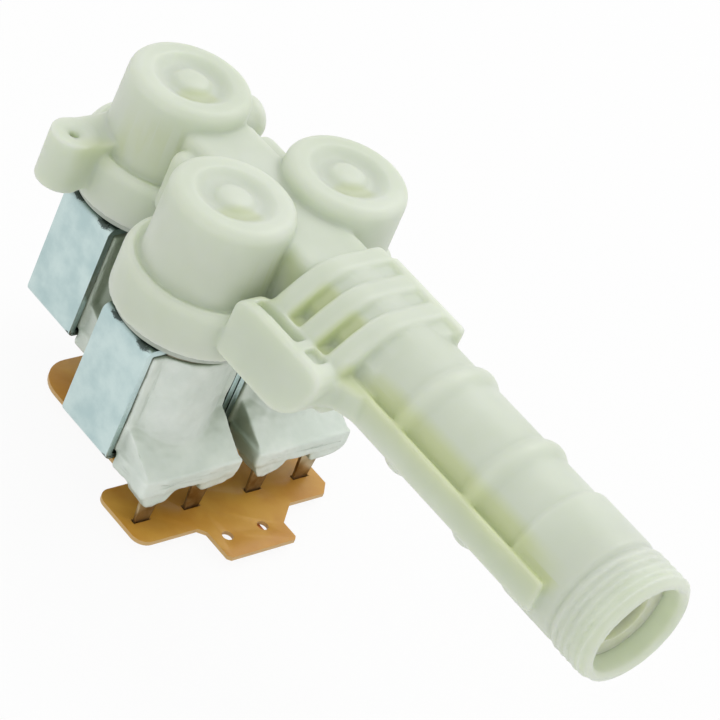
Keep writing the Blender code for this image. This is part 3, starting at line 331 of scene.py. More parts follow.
def slab(outline, low, high, across="Z", rounding=0.0, segments=3, centre=(0.0, 0.0)):
    # a closed outline of pairs between two planes across one axis
    shape = bmesh.new()
    order = {"X": lambda a, b, level: (level, a, b), "Y": lambda a, b, level: (a, level, b),
             "Z": lambda a, b, level: (a, b, level)}[across]
    bottom = [shape.verts.new(order(a, b, low)) for a, b in outline]
    top = [shape.verts.new(order(a, b, high)) for a, b in outline]
    shape.faces.new(bottom)
    shape.faces.new(top)
    for step in range(len(outline)):
        after = (step + 1) % len(outline)
        shape.faces.new((bottom[step], bottom[after], top[after], top[step]))
    bmesh.ops.recalc_face_normals(shape, faces=shape.faces)
    if rounding:
        sharp = [edge for edge in shape.edges if edge.calc_face_angle(0.0) > math.radians(40.0)]
        bmesh.ops.bevel(shape, geom=sharp, offset=rounding, segments=segments, profile=0.5,
                        affect="EDGES", clamp_overlap=True)
    bmesh.ops.translate(shape, verts=shape.verts, vec=(centre[0], centre[1], 0.0))
    return meshObject("slab", shape)


def block(low, high, rounding=0.0, segments=3, centre=(0.0, 0.0)):
    outline = [(low[0], low[1]), (high[0], low[1]), (high[0], high[1]), (low[0], high[1])]
    return slab(outline, low[2], high[2], "Z", rounding, segments, centre)


def barrel(radius, start, end, steps=64):
    first, last = Vector(start), Vector(end)
    span = last - first
    shape = bmesh.new()
    bmesh.ops.create_cone(shape, cap_ends=True, segments=steps, radius1=radius, radius2=radius,
                          depth=span.length)
    turn = Vector((0.0, 0.0, 1.0)).rotation_difference(span.normalized()).to_matrix().to_4x4()
    bmesh.ops.transform(shape, matrix=Matrix.Translation((first + last) / 2.0) @ turn, verts=shape.verts)
    return meshObject("barrel", shape)


def bake(source):
    # the object's evaluated form becomes its plain mesh
    bpy.context.view_layer.update()
    graph = bpy.context.evaluated_depsgraph_get()
    mesh = bpy.data.meshes.new_from_object(source.evaluated_get(graph))
    source.modifiers.clear()
    source.data = mesh
    return source


def fuse(solids, cuts=(), voxel=None, passes=4, limit=180000):
    # joins the solids, cuts the rest away, and with a voxel size melts it into one soft skin
    whole = solids[0]
    for operation, others in (("UNION", solids[1:]), ("DIFFERENCE", cuts)):
        for other in others:
            step = whole.modifiers.new("join", "BOOLEAN")
            step.operation = operation
            step.solver = "MANIFOLD"
            step.object = other
    bake(whole)
    for other in (*solids[1:], *cuts):
        bpy.data.objects.remove(other, do_unlink=True)
    if voxel:
        melt = whole.modifiers.new("melt", "REMESH")
        melt.mode = "VOXEL"
        melt.voxel_size = voxel
        soft = whole.modifiers.new("soft", "SMOOTH")
        soft.factor = 0.5
        soft.iterations = passes
        bake(whole)
        faces = sum(len(face.vertices) - 2 for face in whole.data.polygons)
        if faces > limit:
            thin = whole.modifiers.new("thin", "DECIMATE")
            thin.ratio = limit / faces
            bake(whole)
    return whole


def settle(made, name, material, body="manifold", replaced=(), smoothAngle=None):
    # names a finished form, takes it to the frame and lets it ride
    made.name = name
    made.data.name = name
    made.data.transform(toFrame)
    made.data.materials.clear()
    made.data.materials.append(material)
    made.data.polygons.foreach_set("use_smooth", [True] * len(made.data.polygons))
    if smoothAngle:
        made.data.set_sharp_from_angle(angle=math.radians(smoothAngle))
    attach(made, body)
    if replaced:
        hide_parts(*replaced)


# Geometry Nodes: a tree with named inputs, and what grows from it

def openTree(name, inputs):
    tree = bpy.data.node_groups.new(name, "GeometryNodeTree")
    for label, kind in inputs.items():
        tree.interface.new_socket(label, in_out="INPUT", socket_type="NodeSocket" + kind)
    tree.interface.new_socket("Geometry", in_out="OUTPUT", socket_type="NodeSocketGeometry")
    return tree, addNode(tree, "NodeGroupInput").outputs


def closeTree(tree, geometry, material):
    real = addNode(tree, "GeometryNodeRealizeInstances", {0: geometry})
    dressed = addNode(tree, "GeometryNodeSetMaterial", {"Geometry": real.outputs[0], "Material": material})
    addNode(tree, "NodeGroupOutput", {0: dressed.outputs[0]})


def grow(tree, values, holder=None):
    if holder is None:
        holder = meshObject(tree.name, bmesh.new())
    step = holder.modifiers.new("grow", "NODES")
    step.node_group = tree
    sockets = {item.name: item.identifier for item in tree.interface.items_tree if item.in_out == "INPUT"}
    for label, value in values.items():
        step[sockets[label]] = value
    return bake(holder)


# one form set down again and again along a line
rowTree, given = openTree("row", {
    "Form": "Object", "Count": "Int", "First": "Vector", "Step": "Vector", "Finish": "Material"})
formInfo = addNode(rowTree, "GeometryNodeObjectInfo", {"Object": given["Form"]})
rowLine = addNode(rowTree, "GeometryNodeMeshLine", {
    "Count": given["Count"], "Start Location": given["First"], "Offset": given["Step"]})
rowCopies = addNode(rowTree, "GeometryNodeInstanceOnPoints", {
    "Points": rowLine.outputs[0], "Instance": formInfo.outputs["Geometry"]})
closeTree(rowTree, rowCopies.outputs[0], given["Finish"])


def row(form, count, first, step, finish):
    made = grow(rowTree, {"Form": form, "Count": count, "First": first, "Step": step, "Finish": finish})
    bpy.data.objects.remove(form, do_unlink=True)
    return made


# a wire or ridge wound round Z, tapering out at both ends
coilTree, given = openTree("coil", {
    "Turns": "Float", "Radius": "Float", "Height": "Float", "Reach": "Float", "Root": "Float",
    "Crest": "Float", "Steps": "Int", "Round": "Int", "Taper": "Float", "Finish": "Material"})
path = addNode(coilTree, "GeometryNodeCurveSpiral", {
    "Resolution": given["Steps"], "Rotations": given["Turns"], "Start Radius": given["Radius"],
    "End Radius": given["Radius"], "Height": given["Height"]})
upright = addNode(coilTree, "GeometryNodeSetCurveNormal", {"Curve": path.outputs[0]}, mode="Z_UP")
wedge = addNode(coilTree, "GeometryNodeCurvePrimitiveQuadrilateral", {
    "Height": given["Reach"], "Bottom Width": given["Root"], "Top Width": given["Crest"], "Offset": 0.0},
    mode="TRAPEZOID")
circle = addNode(coilTree, "GeometryNodeCurvePrimitiveCircle", {
    "Resolution": given["Round"], "Radius": given["Crest"]})
isRound = addNode(coilTree, "FunctionNodeCompare", {2: given["Round"], 3: 2},
                  data_type="INT", operation="GREATER_THAN")
section = addNode(coilTree, "GeometryNodeSwitch", {
    "Switch": isRound.outputs[0], "False": wedge.outputs[0], "True": circle.outputs[0]},
    input_type="GEOMETRY")
along = addNode(coilTree, "GeometryNodeSplineParameter").outputs["Factor"]
fromEnd = addNode(coilTree, "ShaderNodeMath", {0: 1.0, 1: along}, operation="SUBTRACT")
nearest = addNode(coilTree, "ShaderNodeMath", {0: along, 1: fromEnd.outputs[0]}, operation="MINIMUM")
fade = addNode(coilTree, "ShaderNodeMapRange", {
    "Value": nearest.outputs[0], "From Max": given["Taper"], "To Min": 0.05, "To Max": 1.0})
ridge = addNode(coilTree, "GeometryNodeCurveToMesh", {
    "Curve": upright.outputs[0], "Profile Curve": section.outputs[0], "Scale": fade.outputs["Result"],
    "Fill Caps": True})
closeTree(coilTree, ridge.outputs[0], given["Finish"])

# joints set on points, each turned and sized a little differently
jointTree, given = openTree("joints", {
    "Geometry": "Geometry", "Form": "Object", "Seed": "Int", "Finish": "Material"})
blobInfo = addNode(jointTree, "GeometryNodeObjectInfo", {"Object": given["Form"]})
spin = addNode(jointTree, "FunctionNodeRandomValue", {2: -0.2, 3: 0.2, "Seed": given["Seed"]},
               data_type="FLOAT")
girth = addNode(jointTree, "FunctionNodeRandomValue", {2: 0.93, 3: 1.02, "Seed": given["Seed"]},
                data_type="FLOAT")
spinAxis = addNode(jointTree, "ShaderNodeCombineXYZ", {"Z": spin.outputs[1]})
blobs = addNode(jointTree, "GeometryNodeInstanceOnPoints", {
    "Points": given["Geometry"], "Instance": blobInfo.outputs["Geometry"], "Rotation": spinAxis.outputs[0],
    "Scale": girth.outputs[1]})
closeTree(jointTree, blobs.outputs[0], given["Finish"])
print("trees grown")


# Moulded manifold: domes, cups, tube, saddle, rail, ear and outlets in one skin

# A box is its low corner, high corner and rounding, and an outline is a list of pairs. Two numbers
# under a name that ends in X, Y or Z are the planes that the form lies between.
manifoldSizes = {
    "domeRadius": 13.4, "domeTop": 14.5, "domeRound": 2.4, "bossRadius": 4.3, "bossRise": 0.3,
    "moatRadius": 5.9, "moatDepth": 1.6, "footZ": -4.4, "footRadius": 14.1, "footWidth": 0.7,
    "lipTop": -3.5, "lipWidth": 1.7, "lipRound": 1.9, "collarRadius": 17.0, "collarBottom": -14.8,
    "domeWall": 3.0, "cupRadius": 14.3, "annulusRadius": 12.0, "annulusTop": -7.5, "seatZ": -11.4,
    "seatRadius": 6.2, "seatBore": 4.6, "chamberFloor": -5.4,
    "tubeRadius": 12.25, "tubeStart": 23.0, "tubeReach": 116.8, "neckRadius": 13.05, "threadRoot": 12.5,
    "threadLength": 11.6, "collarLength": 14.2, "beadHeight": 1.25, "beadLength": 6.6,
    "beads": (77.9, 56.7), "mouthRadius": 10.4, "mouthDepth": 17.0, "mouthChamfer": 0.9,
    "regulatorBore": 8.2, "regulatorDepth": 8.0, "boreRadius": 6.8, "boreEnd": 32.0,
    "core": ((-9.0, -26.0, -12.6), (9.0, 24.0, 10.4), 2.2),
    "saddleOutline": [(9.4, 0.0), (9.4, 11.8), (-3.67, 11.8), (-8.09, 9.56), (-11.27, 5.88), (-12.0, 0.0)],
    "saddleY": (-45.8, -20.0), "saddleRound": 0.9,
    "ribOutline": [(9.2, 5.8), (9.2, 12.8), (-4.5, 12.8), (-8.1, 11.7), (-12.25, 8.6), (-17.6, 3.3),
                   (-17.6, -3.0), (-6.12, -3.0)],
    "ribCorner": 1.8, "ribRound": 1.9, "ribFirst": 21.9, "ribPitch": 8.6, "ribWidth": 5.6, "ribCount": 3,
    "rightWall": ((7.7, -46.2, 8.8), (9.6, -23.6, 12.9), 0.5),
    "keelOutline": [(-14.6, -30.0), (-14.6, -101.6), (-13.2, -101.6), (-13.2, -30.0)],
    "keelZ": (-4.6, 2.9), "keelRound": 0.6,
    "keelFoot": ((-13.9, -101.2, -4.2), (-6.1, -30.0, 1.8)),
    "keelEnd": ((-13.9, -101.3, -1.1), (-8.6, -100.2, 2.5)),
    "railOutline": [(-15.8, -11.2), (-15.8, 1.42), (-17.4, 3.09), (-21.8, 4.0), (-40.15, 4.0),
                    (-42.41, 2.8), (-42.8, 0.96), (-41.43, -3.9), (-39.37, -7.55), (-36.43, -10.14),
                    (-33.0, -11.2)],
    "railX": (-22.6, -16.2), "railCorner": 1.6, "railRound": 0.7,
    "pocketFloor": ((-17.2, -41.8, -7.0), (-6.1, -18.6, 3.0)),
    "braceOutline": [(-21.6, -34.8), (-21.6, -41.2), (-16.8, -43.6), (-15.02, -48.0), (-8.57, -50.0),
                     (-8.57, -34.8)],
    "braceZ": (-4.3, 2.6), "braceRound": 0.9,
    "ear": (-21.2, 40.2), "earRadius": 5.1, "earZ": (-13.0, -0.6),
    "earArm": ((-21.2, 35.25, -12.5), (-6.7, 45.15, -1.0)),
    "earHole": [(0.0, 0.0), (2.8, 0.0), (2.2, -0.96), (1.1, -1.2), (1.1, -4.0), (0.0, -4.0)],
    "clipGroove": [(-20.6, 5.0), (-19.6, 1.2), (-17.9, 1.2), (-17.0, 5.0)], "grooveY": (-31.5, -18.5),
    "railPocket": ((-20.12, -38.2, 2.5), (-17.0, -34.04, 6.0), 0.5),
    "outletRadius": 4.9, "barbRadius": 5.4, "outletTip": 3.9, "outletBore": 3.4,
    "rearOutlet": {"start": 5.4, "shoulder": 12.0, "end": 21.0, "boreStart": 5.2, "place": (33.0, 1.9)},
    "pairOutlet": {"start": 6.6, "shoulder": 20.0, "end": 31.6, "boreStart": 7.6, "place": (16.6, -3.0)},
    "pairLink": ((-13.05, 11.1, -7.32), (14.25, 22.1, 8.2), 2.5),
    "ringSide": 9.1, "ductRadius": 3.9, "ductStart": -35.0, "ductZ": -5.5, "crossRadius": 2.0,
    "crossZ": -9.45, "linkRadius": 3.0, "linkX": (-9.2, 11.3), "linkZ": 3.4, "riseRadius": 2.82, "riseX": 9.0,
    "feedRadius": 2.91, "feedX": 8.6, "feedY": 4.16, "voxel": 0.40, "smoothing": 8, "faces": 190000}


def domeProfile(sizes):
    top, radius, foot = sizes["domeTop"], sizes["domeRadius"], sizes["footZ"]
    bossTop, boss = top + sizes["bossRise"], sizes["bossRadius"]
    moatZ, moat = top - sizes["moatDepth"], sizes["moatRadius"]
    collar, lip, lipTop = sizes["collarRadius"], sizes["lipWidth"], sizes["lipTop"]
    return [
        (0.0, bossTop), (boss * 0.42, bossTop - 0.13), (boss * 0.76, bossTop - 0.57), (boss, moatZ + 0.3),
        (moat, moatZ), (moat + 1.33, moatZ + 0.58), (moat + 2.9, top),
        *arc(radius - sizes["domeRound"], top - sizes["domeRound"], sizes["domeRound"], 90.0, 0.0, 8),
        (radius + 0.25, foot + 0.7), (sizes["footRadius"], foot),
        (sizes["footRadius"] + sizes["footWidth"] * 0.85, foot + 0.4), (collar - lip, lipTop),
        (collar - lip * 0.38, lipTop - 0.46), (collar, lipTop - sizes["lipRound"]),
        (collar, sizes["collarBottom"]), (0.0, sizes["collarBottom"])]


def wayProfile(sizes):
    wall, annulus, seat = sizes["domeWall"], sizes["annulusRadius"], sizes["seatZ"]
    top = sizes["domeTop"] - sizes["moatDepth"] - wall
    chamber = sizes["domeRadius"] - wall
    floor = sizes["collarBottom"] - 2.0
    return [
        (0.0, top), (chamber - 2.0, top), (chamber, top - 2.0), (chamber, sizes["chamberFloor"]),
        (sizes["seatBore"], sizes["chamberFloor"]), (sizes["seatBore"], seat), (sizes["seatRadius"], seat),
        (sizes["seatRadius"], sizes["annulusTop"]), (annulus, sizes["annulusTop"]), (annulus, seat),
        (sizes["cupRadius"], seat), (sizes["cupRadius"], floor), (0.0, floor)]


def tubeProfile(sizes):
    reach, root, tube = sizes["tubeReach"], sizes["threadRoot"], sizes["tubeRadius"]
    threadEnd = reach - sizes["threadLength"]
    neckEnd = threadEnd - sizes["collarLength"]
    profile = [
        (0.0, reach), (root - 0.9, reach), (root - 0.25, reach - 0.3), (root, reach - 1.0),
        (root, threadEnd + 0.4), (sizes["neckRadius"], threadEnd), (sizes["neckRadius"], neckEnd + 0.5),
        (tube, neckEnd - 0.5)]
    for middle in sizes["beads"]:
        for step in range(11):
            share = step / 10.0
            swell = math.sin(math.pi * share) ** 1.6        # a soft bead, flat at its feet
            profile.append((tube + sizes["beadHeight"] * swell, middle + sizes["beadLength"] * (0.5 - share)))
    return [*profile, (tube, sizes["tubeStart"]), (0.0, sizes["tubeStart"])]


def outletForm(sizes, outlet):
    # a stub along X with a hose barb near its end
    neck, barb, end, shoulder = sizes["outletRadius"], sizes["barbRadius"], outlet["end"], outlet["shoulder"]
    made = lathe([
        (0.0, end), (sizes["outletTip"], end), (neck, end - 0.8), (barb, end - 2.4), (neck, end - 3.6),
        (neck, shoulder + 1.0), (barb, shoulder), (barb, outlet["start"]), (0.0, outlet["start"])], steps=64)
    turn = Matrix.Rotation(math.radians(90.0), 4, "Y")
    made.data.transform(Matrix.Translation((0.0, *outlet["place"])) @ turn)
    return made


def manifoldForms(sizes):
    forms = [block(*sizes["core"])]
    forms += [lathe(domeProfile(sizes), place) for place in valves.values()]
    forms.append(lathe(tubeProfile(sizes), along="Y"))
    forms.append(slab(sizes["saddleOutline"], *sizes["saddleY"], "Y", sizes["saddleRound"]))
    halfRib = sizes["ribWidth"] / 2.0
    rib = slab(soften(sizes["ribOutline"], sizes["ribCorner"], 3, True), -halfRib, halfRib, "Y",
               sizes["ribRound"], 4)
    forms.append(row(rib, sizes["ribCount"], (0.0, -sizes["ribFirst"], 0.0), (0.0, -sizes["ribPitch"], 0.0),
                     mouldedNylon))
    forms.append(block(*sizes["rightWall"]))
    keel = soften(sizes["keelOutline"], sizes["keelRound"], 3, True)
    forms.append(slab(keel, *sizes["keelZ"], "Z", sizes["keelRound"]))
    forms += [block(*sizes["keelFoot"]), block(*sizes["keelEnd"])]
    rail = soften(sizes["railOutline"], sizes["railCorner"], 3, True)
    forms.append(slab(rail, *sizes["railX"], "X", sizes["railRound"], 2))
    forms.append(block(*sizes["pocketFloor"]))
    forms.append(slab(sizes["braceOutline"], *sizes["braceZ"], "Z", sizes["braceRound"]))
    forms.append(barrel(sizes["earRadius"], *[(*sizes["ear"], level) for level in sizes["earZ"]]))
    forms.append(block(*sizes["earArm"]))
    forms.append(outletForm(sizes, sizes["rearOutlet"]))
    forms.append(block(*sizes["pairLink"]))
    forms.append(outletForm(sizes, sizes["pairOutlet"]))
    return forms


def manifoldCuts(sizes):
    reach, mouth, bore = sizes["tubeReach"], sizes["mouthRadius"], sizes["boreRadius"]
    mouthEnd = reach - sizes["mouthDepth"]
    ringEnd = mouthEnd - sizes["regulatorDepth"]
    cuts = [lathe(wayProfile(sizes), place) for place in valves.values()]
    cuts.append(lathe([
        (0.0, reach + 1.0), (mouth + 1.0, reach + 1.0), (mouth + sizes["mouthChamfer"], reach),
        (mouth, reach - sizes["mouthChamfer"]), (mouth, mouthEnd), (sizes["regulatorBore"], mouthEnd),
        (sizes["regulatorBore"], ringEnd), (bore, ringEnd), (bore, sizes["boreEnd"]),
        (0.0, sizes["boreEnd"])], along="Y"))

    # the inlet duct back to the rear valve's ring chamber, and across between the front pair's
    ringSide, ductZ, crossZ = sizes["ringSide"], sizes["ductZ"], sizes["crossZ"]
    cuts.append(barrel(sizes["ductRadius"], (0.0, sizes["ductStart"], ductZ),
                       (0.0, rowSpacing - ringSide, ductZ), 40))
    cuts.append(barrel(sizes["crossRadius"], (-halfPair + ringSide, 0.0, crossZ),
                       (halfPair - ringSide, 0.0, crossZ), 32))
    for outlet in (sizes["rearOutlet"], sizes["pairOutlet"]):
        cuts.append(barrel(sizes["outletBore"], (outlet["boreStart"], *outlet["place"]),
                           (outlet["end"] + 1.0, *outlet["place"]), 40))

    # the way that joins the front pair's chambers and drops to their outlet
    linkY, outletZ = sizes["pairOutlet"]["place"]
    linkZ, riseX = sizes["linkZ"], sizes["riseX"]
    cuts.append(barrel(sizes["linkRadius"], *[(end, linkY, linkZ) for end in sizes["linkX"]], 40))
    cuts.append(barrel(sizes["riseRadius"], (riseX, linkY, outletZ), (riseX, linkY, linkZ), 36))
    for side in (-sizes["feedX"], sizes["feedX"]):
        cuts.append(barrel(sizes["feedRadius"], (side, sizes["feedY"], linkZ), (side, linkY, linkZ), 36))

    cuts.append(lathe(sizes["earHole"], sizes["ear"]))
    cuts.append(slab(soften(sizes["clipGroove"], 0.5, 3, True), *sizes["grooveY"], "Y"))
    cuts.append(block(*sizes["railPocket"]))
    return cuts


def layPaintedShade(made, spots):
    # painted olive shade, as an attribute: 1 on each spot's line, 0 at its reach
    values = [0.0] * len(made.data.vertices)
    for spot in spots:
        start, span = Vector(spot["from"]), Vector(spot["to"]) - Vector(spot["from"])
        reach, length = spot["reach"], max(span.length_squared, 0.0001)
        for index, vertex in enumerate(made.data.vertices):
            away = vertex.co - start
            share = min(max(away.dot(span) / length, 0.0), 1.0)
            near = 1.0 - (away - span * share).length / reach
            if near > 0.0:
                values[index] = max(values[index], spot["amount"] * min(near * 1.7, 1.0))
    # the thickness attribute holds this painted shade
    layer = made.data.attributes.new("thickness", "FLOAT", "POINT")
    layer.data.foreach_set("value", values)


# where olive shade is painted: beside the keel, in the pockets between the ribs, under the left dome, by the
# rail and the ear
shadeSpots = [
    {"from": (-12.0, -49.0, 3.4), "to": (-12.0, -99.5, 3.4), "reach": 4.6, "amount": 0.9},
    {"from": (-15.0, -26.2, 4.0), "to": (-9.5, -26.2, 9.0), "reach": 3.0, "amount": 0.9},
    {"from": (-15.0, -34.8, 4.0), "to": (-9.5, -34.8, 9.0), "reach": 3.0, "amount": 0.9},
    {"from": (-14.5, -17.0, 3.0), "to": (-8.5, -15.0, 5.0), "reach": 5.5, "amount": 0.6},
    {"from": (-15.0, -42.5, 3.0), "to": (-13.0, -47.0, 3.0), "reach": 3.2, "amount": 0.7},
    {"from": (-20.5, 35.0, -3.0), "to": (-15.0, 33.0, 0.0), "reach": 4.5, "amount": 0.45},
    {"from": (-13.5, 28.0, 3.0), "to": (-10.0, 25.0, 4.0), "reach": 8.0, "amount": 0.35}]
# painted shade: a darker olive crescent in the moat before each boss
for placeX, placeY in valves.values():
    shadeSpots.append({"from": (placeX - 4.4, placeY - 3.6, 13.0), "to": (placeX + 0.5, placeY - 5.6, 13.0),
                       "reach": 2.6, "amount": 0.55})       # the moat before each boss

# the inlet's pipe thread, one ridge wound on the plain end
threadSizes = {"pitch": 1.814, "crestRadius": 13.25, "depth": 0.75, "buried": 0.5, "rootWidth": 1.7,
               "crestWidth": 0.6, "first": 116.0, "last": 106.2, "steps": 96, "taper": 0.06}
threadRun = threadSizes["first"] - threadSizes["last"]
threadReach = threadSizes["depth"] + threadSizes["buried"]
thread = grow(coilTree, {
    "Turns": threadRun / threadSizes["pitch"], "Radius": threadSizes["crestRadius"] - threadReach / 2.0,
    "Height": threadRun, "Reach": threadReach, "Root": threadSizes["rootWidth"],
    "Crest": threadSizes["crestWidth"], "Steps": threadSizes["steps"], "Round": 0,
    "Taper": threadSizes["taper"], "Finish": mouldedNylon})
threadTurn = Matrix.Rotation(math.radians(90.0), 4, "X")
thread.data.transform(Matrix.Translation((0.0, -threadSizes["last"], 0.0)) @ threadTurn)
print("thread wound,", len(thread.data.polygons), "faces")

forms = [*manifoldForms(manifoldSizes), thread]
manifold = fuse(forms, manifoldCuts(manifoldSizes), manifoldSizes["voxel"], manifoldSizes["smoothing"],
                manifoldSizes["faces"])
layPaintedShade(manifold, shadeSpots)
settle(manifold, "moulded_manifold", mouldedNylon, replaced=["valve_body"])
print("manifold moulded,", len(manifold.data.polygons), "faces")


# Coils

coverSizes = {
    "outer": 13.4, "inner": 12.45, "side": 13.45, "depth": 8.45, "low": -44.6, "high": -18.9,
    "front": -19.3, "back": -8.15, "housingLow": -48.0, "housingHigh": -43.3, "rounding": 0.8,
    "rampTop": -36.6, "rampFront": -18.9, "rampBack": -6.9, "rampX": (-12.75, 12.75), "pinX": 6.8,
    "pinY": -16.1, "slotWidth": 6.0, "slotDepth": 1.4, "slotTop": -46.5, "slotEnd": -53.0,
    "leftLobe": [(-13.0, -46.0), (-12.6, -48.4), (-10.9, -50.9), (-8.9, -51.4), (-5.2, -50.2),
                 (-3.9, -48.2), (-2.9, -46.0)],
    "rightLobe": [(13.2, -46.0), (13.2, -48.2), (11.2, -49.7), (4.3, -50.3), (3.3, -49.6), (2.5, -46.0)],
    "lobeY": (-19.1, -12.6), "lobeCorner": 0.6, "waves": ((0.30, 5.0), (0.16, 1.7)), "voxel": 0.32,
    "smoothing": 3, "faces": 90000}


def coverForms(sizes, centre):
    side, low, high, rounding = sizes["side"], sizes["low"], sizes["high"], sizes["rounding"]
    forms = [block((-side, -sizes["depth"], low), (side, sizes["depth"], high), rounding, 3, centre)]
    wrap = [(0.0, low), (sizes["outer"], low), (sizes["outer"], high), (0.0, high)]
    forms.append(lathe(soften(wrap, rounding), centre, 96))
    forms.append(block((-side, sizes["front"], sizes["housingLow"]),
                       (side, sizes["back"], sizes["housingHigh"]), rounding, 4, centre))
    front, back, top = sizes["rampFront"], sizes["rampBack"], sizes["rampTop"]
    ramp = [(back, top), (back - 3.6, top - 1.8), (front + 0.5, low + 1.4), (front, low), (back, low)]
    forms.append(slab(soften(ramp, rounding, 3, True), *sizes["rampX"], "X", rounding, 3, centre))
    for lobe in ("leftLobe", "rightLobe"):
        outline = soften(sizes[lobe], sizes["lobeCorner"], 3, True)
        forms.append(slab(outline, *sizes["lobeY"], "Y", rounding, 3, centre))
    return forms


def coverCuts(sizes, centre):
    cuts = [barrel(sizes["inner"], (*centre, sizes["low"] - 2.0), (*centre, sizes["high"] + 2.0), 96)]
    halfX, halfY, pinY = sizes["slotWidth"] / 2.0, sizes["slotDepth"] / 2.0, sizes["pinY"]
    for pinX in (-sizes["pinX"], sizes["pinX"]):
        cuts.append(block((pinX - halfX, pinY - halfY, sizes["slotEnd"]),
                          (pinX + halfX, pinY + halfY, sizes["slotTop"]), 0.0, 3, centre))
    return cuts


def ripple(made, height, size, keepRadius, centre):
    # slow waves on the outer skin, as a soft moulding sinks; the bore keeps its size
    made.data.update()
    outward = [vertex.normal.copy() for vertex in made.data.vertices]
    for vertex, normal in zip(made.data.vertices, outward):
        away = math.hypot(vertex.co.x - centre[0], vertex.co.y - centre[1])
        if away > keepRadius:
            wave = noise.noise(vertex.co / size)
            vertex.co += normal * (wave - 0.35) * height * min((away - keepRadius) * 2.0, 1.0)


for label, centre in valves.items():
    cover = fuse(coverForms(coverSizes, centre), coverCuts(coverSizes, centre), coverSizes["voxel"],
                 coverSizes["smoothing"], coverSizes["faces"])
    for height, size in coverSizes["waves"]:
        ripple(cover, height, size, coverSizes["inner"] + 0.3, centre)
    settle(cover, "wrap_" + label, wrapNylon, replaced=["coil_cover_" + label])
print("covers moulded")

yokeSizes = {"width": 30.5, "depth": 15.7, "low": -46.4, "high": -17.1, "sheet": 1.5, "bend": 1.7,
             "inside": 0.4, "hole": 5.4, "burr": 0.14}


def roundedFrame(sizes, inset, bend):
    half = sizes["width"] / 2.0 - inset
    low, high = sizes["low"] + inset, sizes["high"] - inset
    outline = []
    corners = ((half, high, 0.0), (-half, high, 90.0), (-half, low, 180.0), (half, low, 270.0))
    for cornerX, cornerZ, start in corners:
        insideX = cornerX - math.copysign(bend, cornerX)
        insideZ = cornerZ - (bend if cornerZ == high else -bend)
        outline += arc(insideX, insideZ, bend, start, start + 90.0, 8)
    return outline


for label, centre in valves.items():
    halfDepth = yokeSizes["depth"] / 2.0
    outside = roundedFrame(yokeSizes, 0.0, yokeSizes["bend"])
    inside = roundedFrame(yokeSizes, yokeSizes["sheet"], yokeSizes["inside"])
    outer = slab(outside, -halfDepth, halfDepth, "Y", yokeSizes["burr"], 2, centre)
    window = slab(inside, -halfDepth - 1.0, halfDepth + 1.0, "Y", centre=centre)
    hole = barrel(yokeSizes["hole"], (*centre, yokeSizes["low"] - 1.0),
                  (*centre, yokeSizes["high"] + 1.0), 64)
    yoke = fuse([outer], [window, hole])
    places = yoke.data.attributes.new("valvePlace", "FLOAT_VECTOR", "POINT")
    for vertex, place in zip(yoke.data.vertices, places.data):
        place.vector = (vertex.co.x - centre[0], vertex.co.y - centre[1], vertex.co.z)
    settle(yoke, "strap_" + label, galvanisedSheet, replaced=["coil_yoke_" + label],
           smoothAngle=35.0)
print("straps bent")

# turned pieces inside each valve, as (radius, height) profiles
guideProfile = [(0.0, -42.0), (4.25, -42.0), (4.25, -15.4), (11.6, -15.4), (11.6, -13.2), (14.0, -13.2),
                (14.0, -15.1), (15.3, -15.1), (15.3, -16.8), (4.95, -16.8), (4.95, -42.6), (4.35, -43.2),
                (0.0, -43.2)]
bobbinProfile = [(12.15, -18.9), (12.15, -20.1), (6.45, -20.1), (6.45, -43.4), (12.15, -43.4),
                 (12.15, -44.6), (5.25, -44.6), (5.25, -18.9)]
diaphragmProfile = [(2.9, -11.7), (7.6, -11.7), (9.6, -12.9), (11.6, -11.7), (14.0, -11.7), (14.0, -12.9),
                    (11.6, -12.9), (9.6, -13.8), (7.6, -12.6), (2.9, -12.6)]
insertProfile = [(2.6, -10.2), (2.6, -12.9), (6.0, -12.9), (6.0, -13.6), (2.6, -14.0), (0.8, -14.0),
                 (0.8, -10.2)]
plungerProfile = [(0.0, -18.2), (2.2, -18.2), (2.2, -15.6), (3.5, -15.6), (3.9, -16.0), (3.9, -34.6),
                  (3.5, -35.0), (3.12, -35.0), (3.12, -27.0), (0.0, -27.0)]
sealProfile = [(0.0, -14.3), (1.5, -14.3), (1.9, -14.7), (1.9, -17.9), (0.0, -17.9)]
windingSizes = {"inner": 6.75, "outer": 11.4, "low": -43.1, "high": -20.4, "wire": 0.62}
springSizes = {"radius": 2.6, "wire": 0.225, "low": -41.4, "high": -27.6, "turns": 6.0, "travel": 2.5}

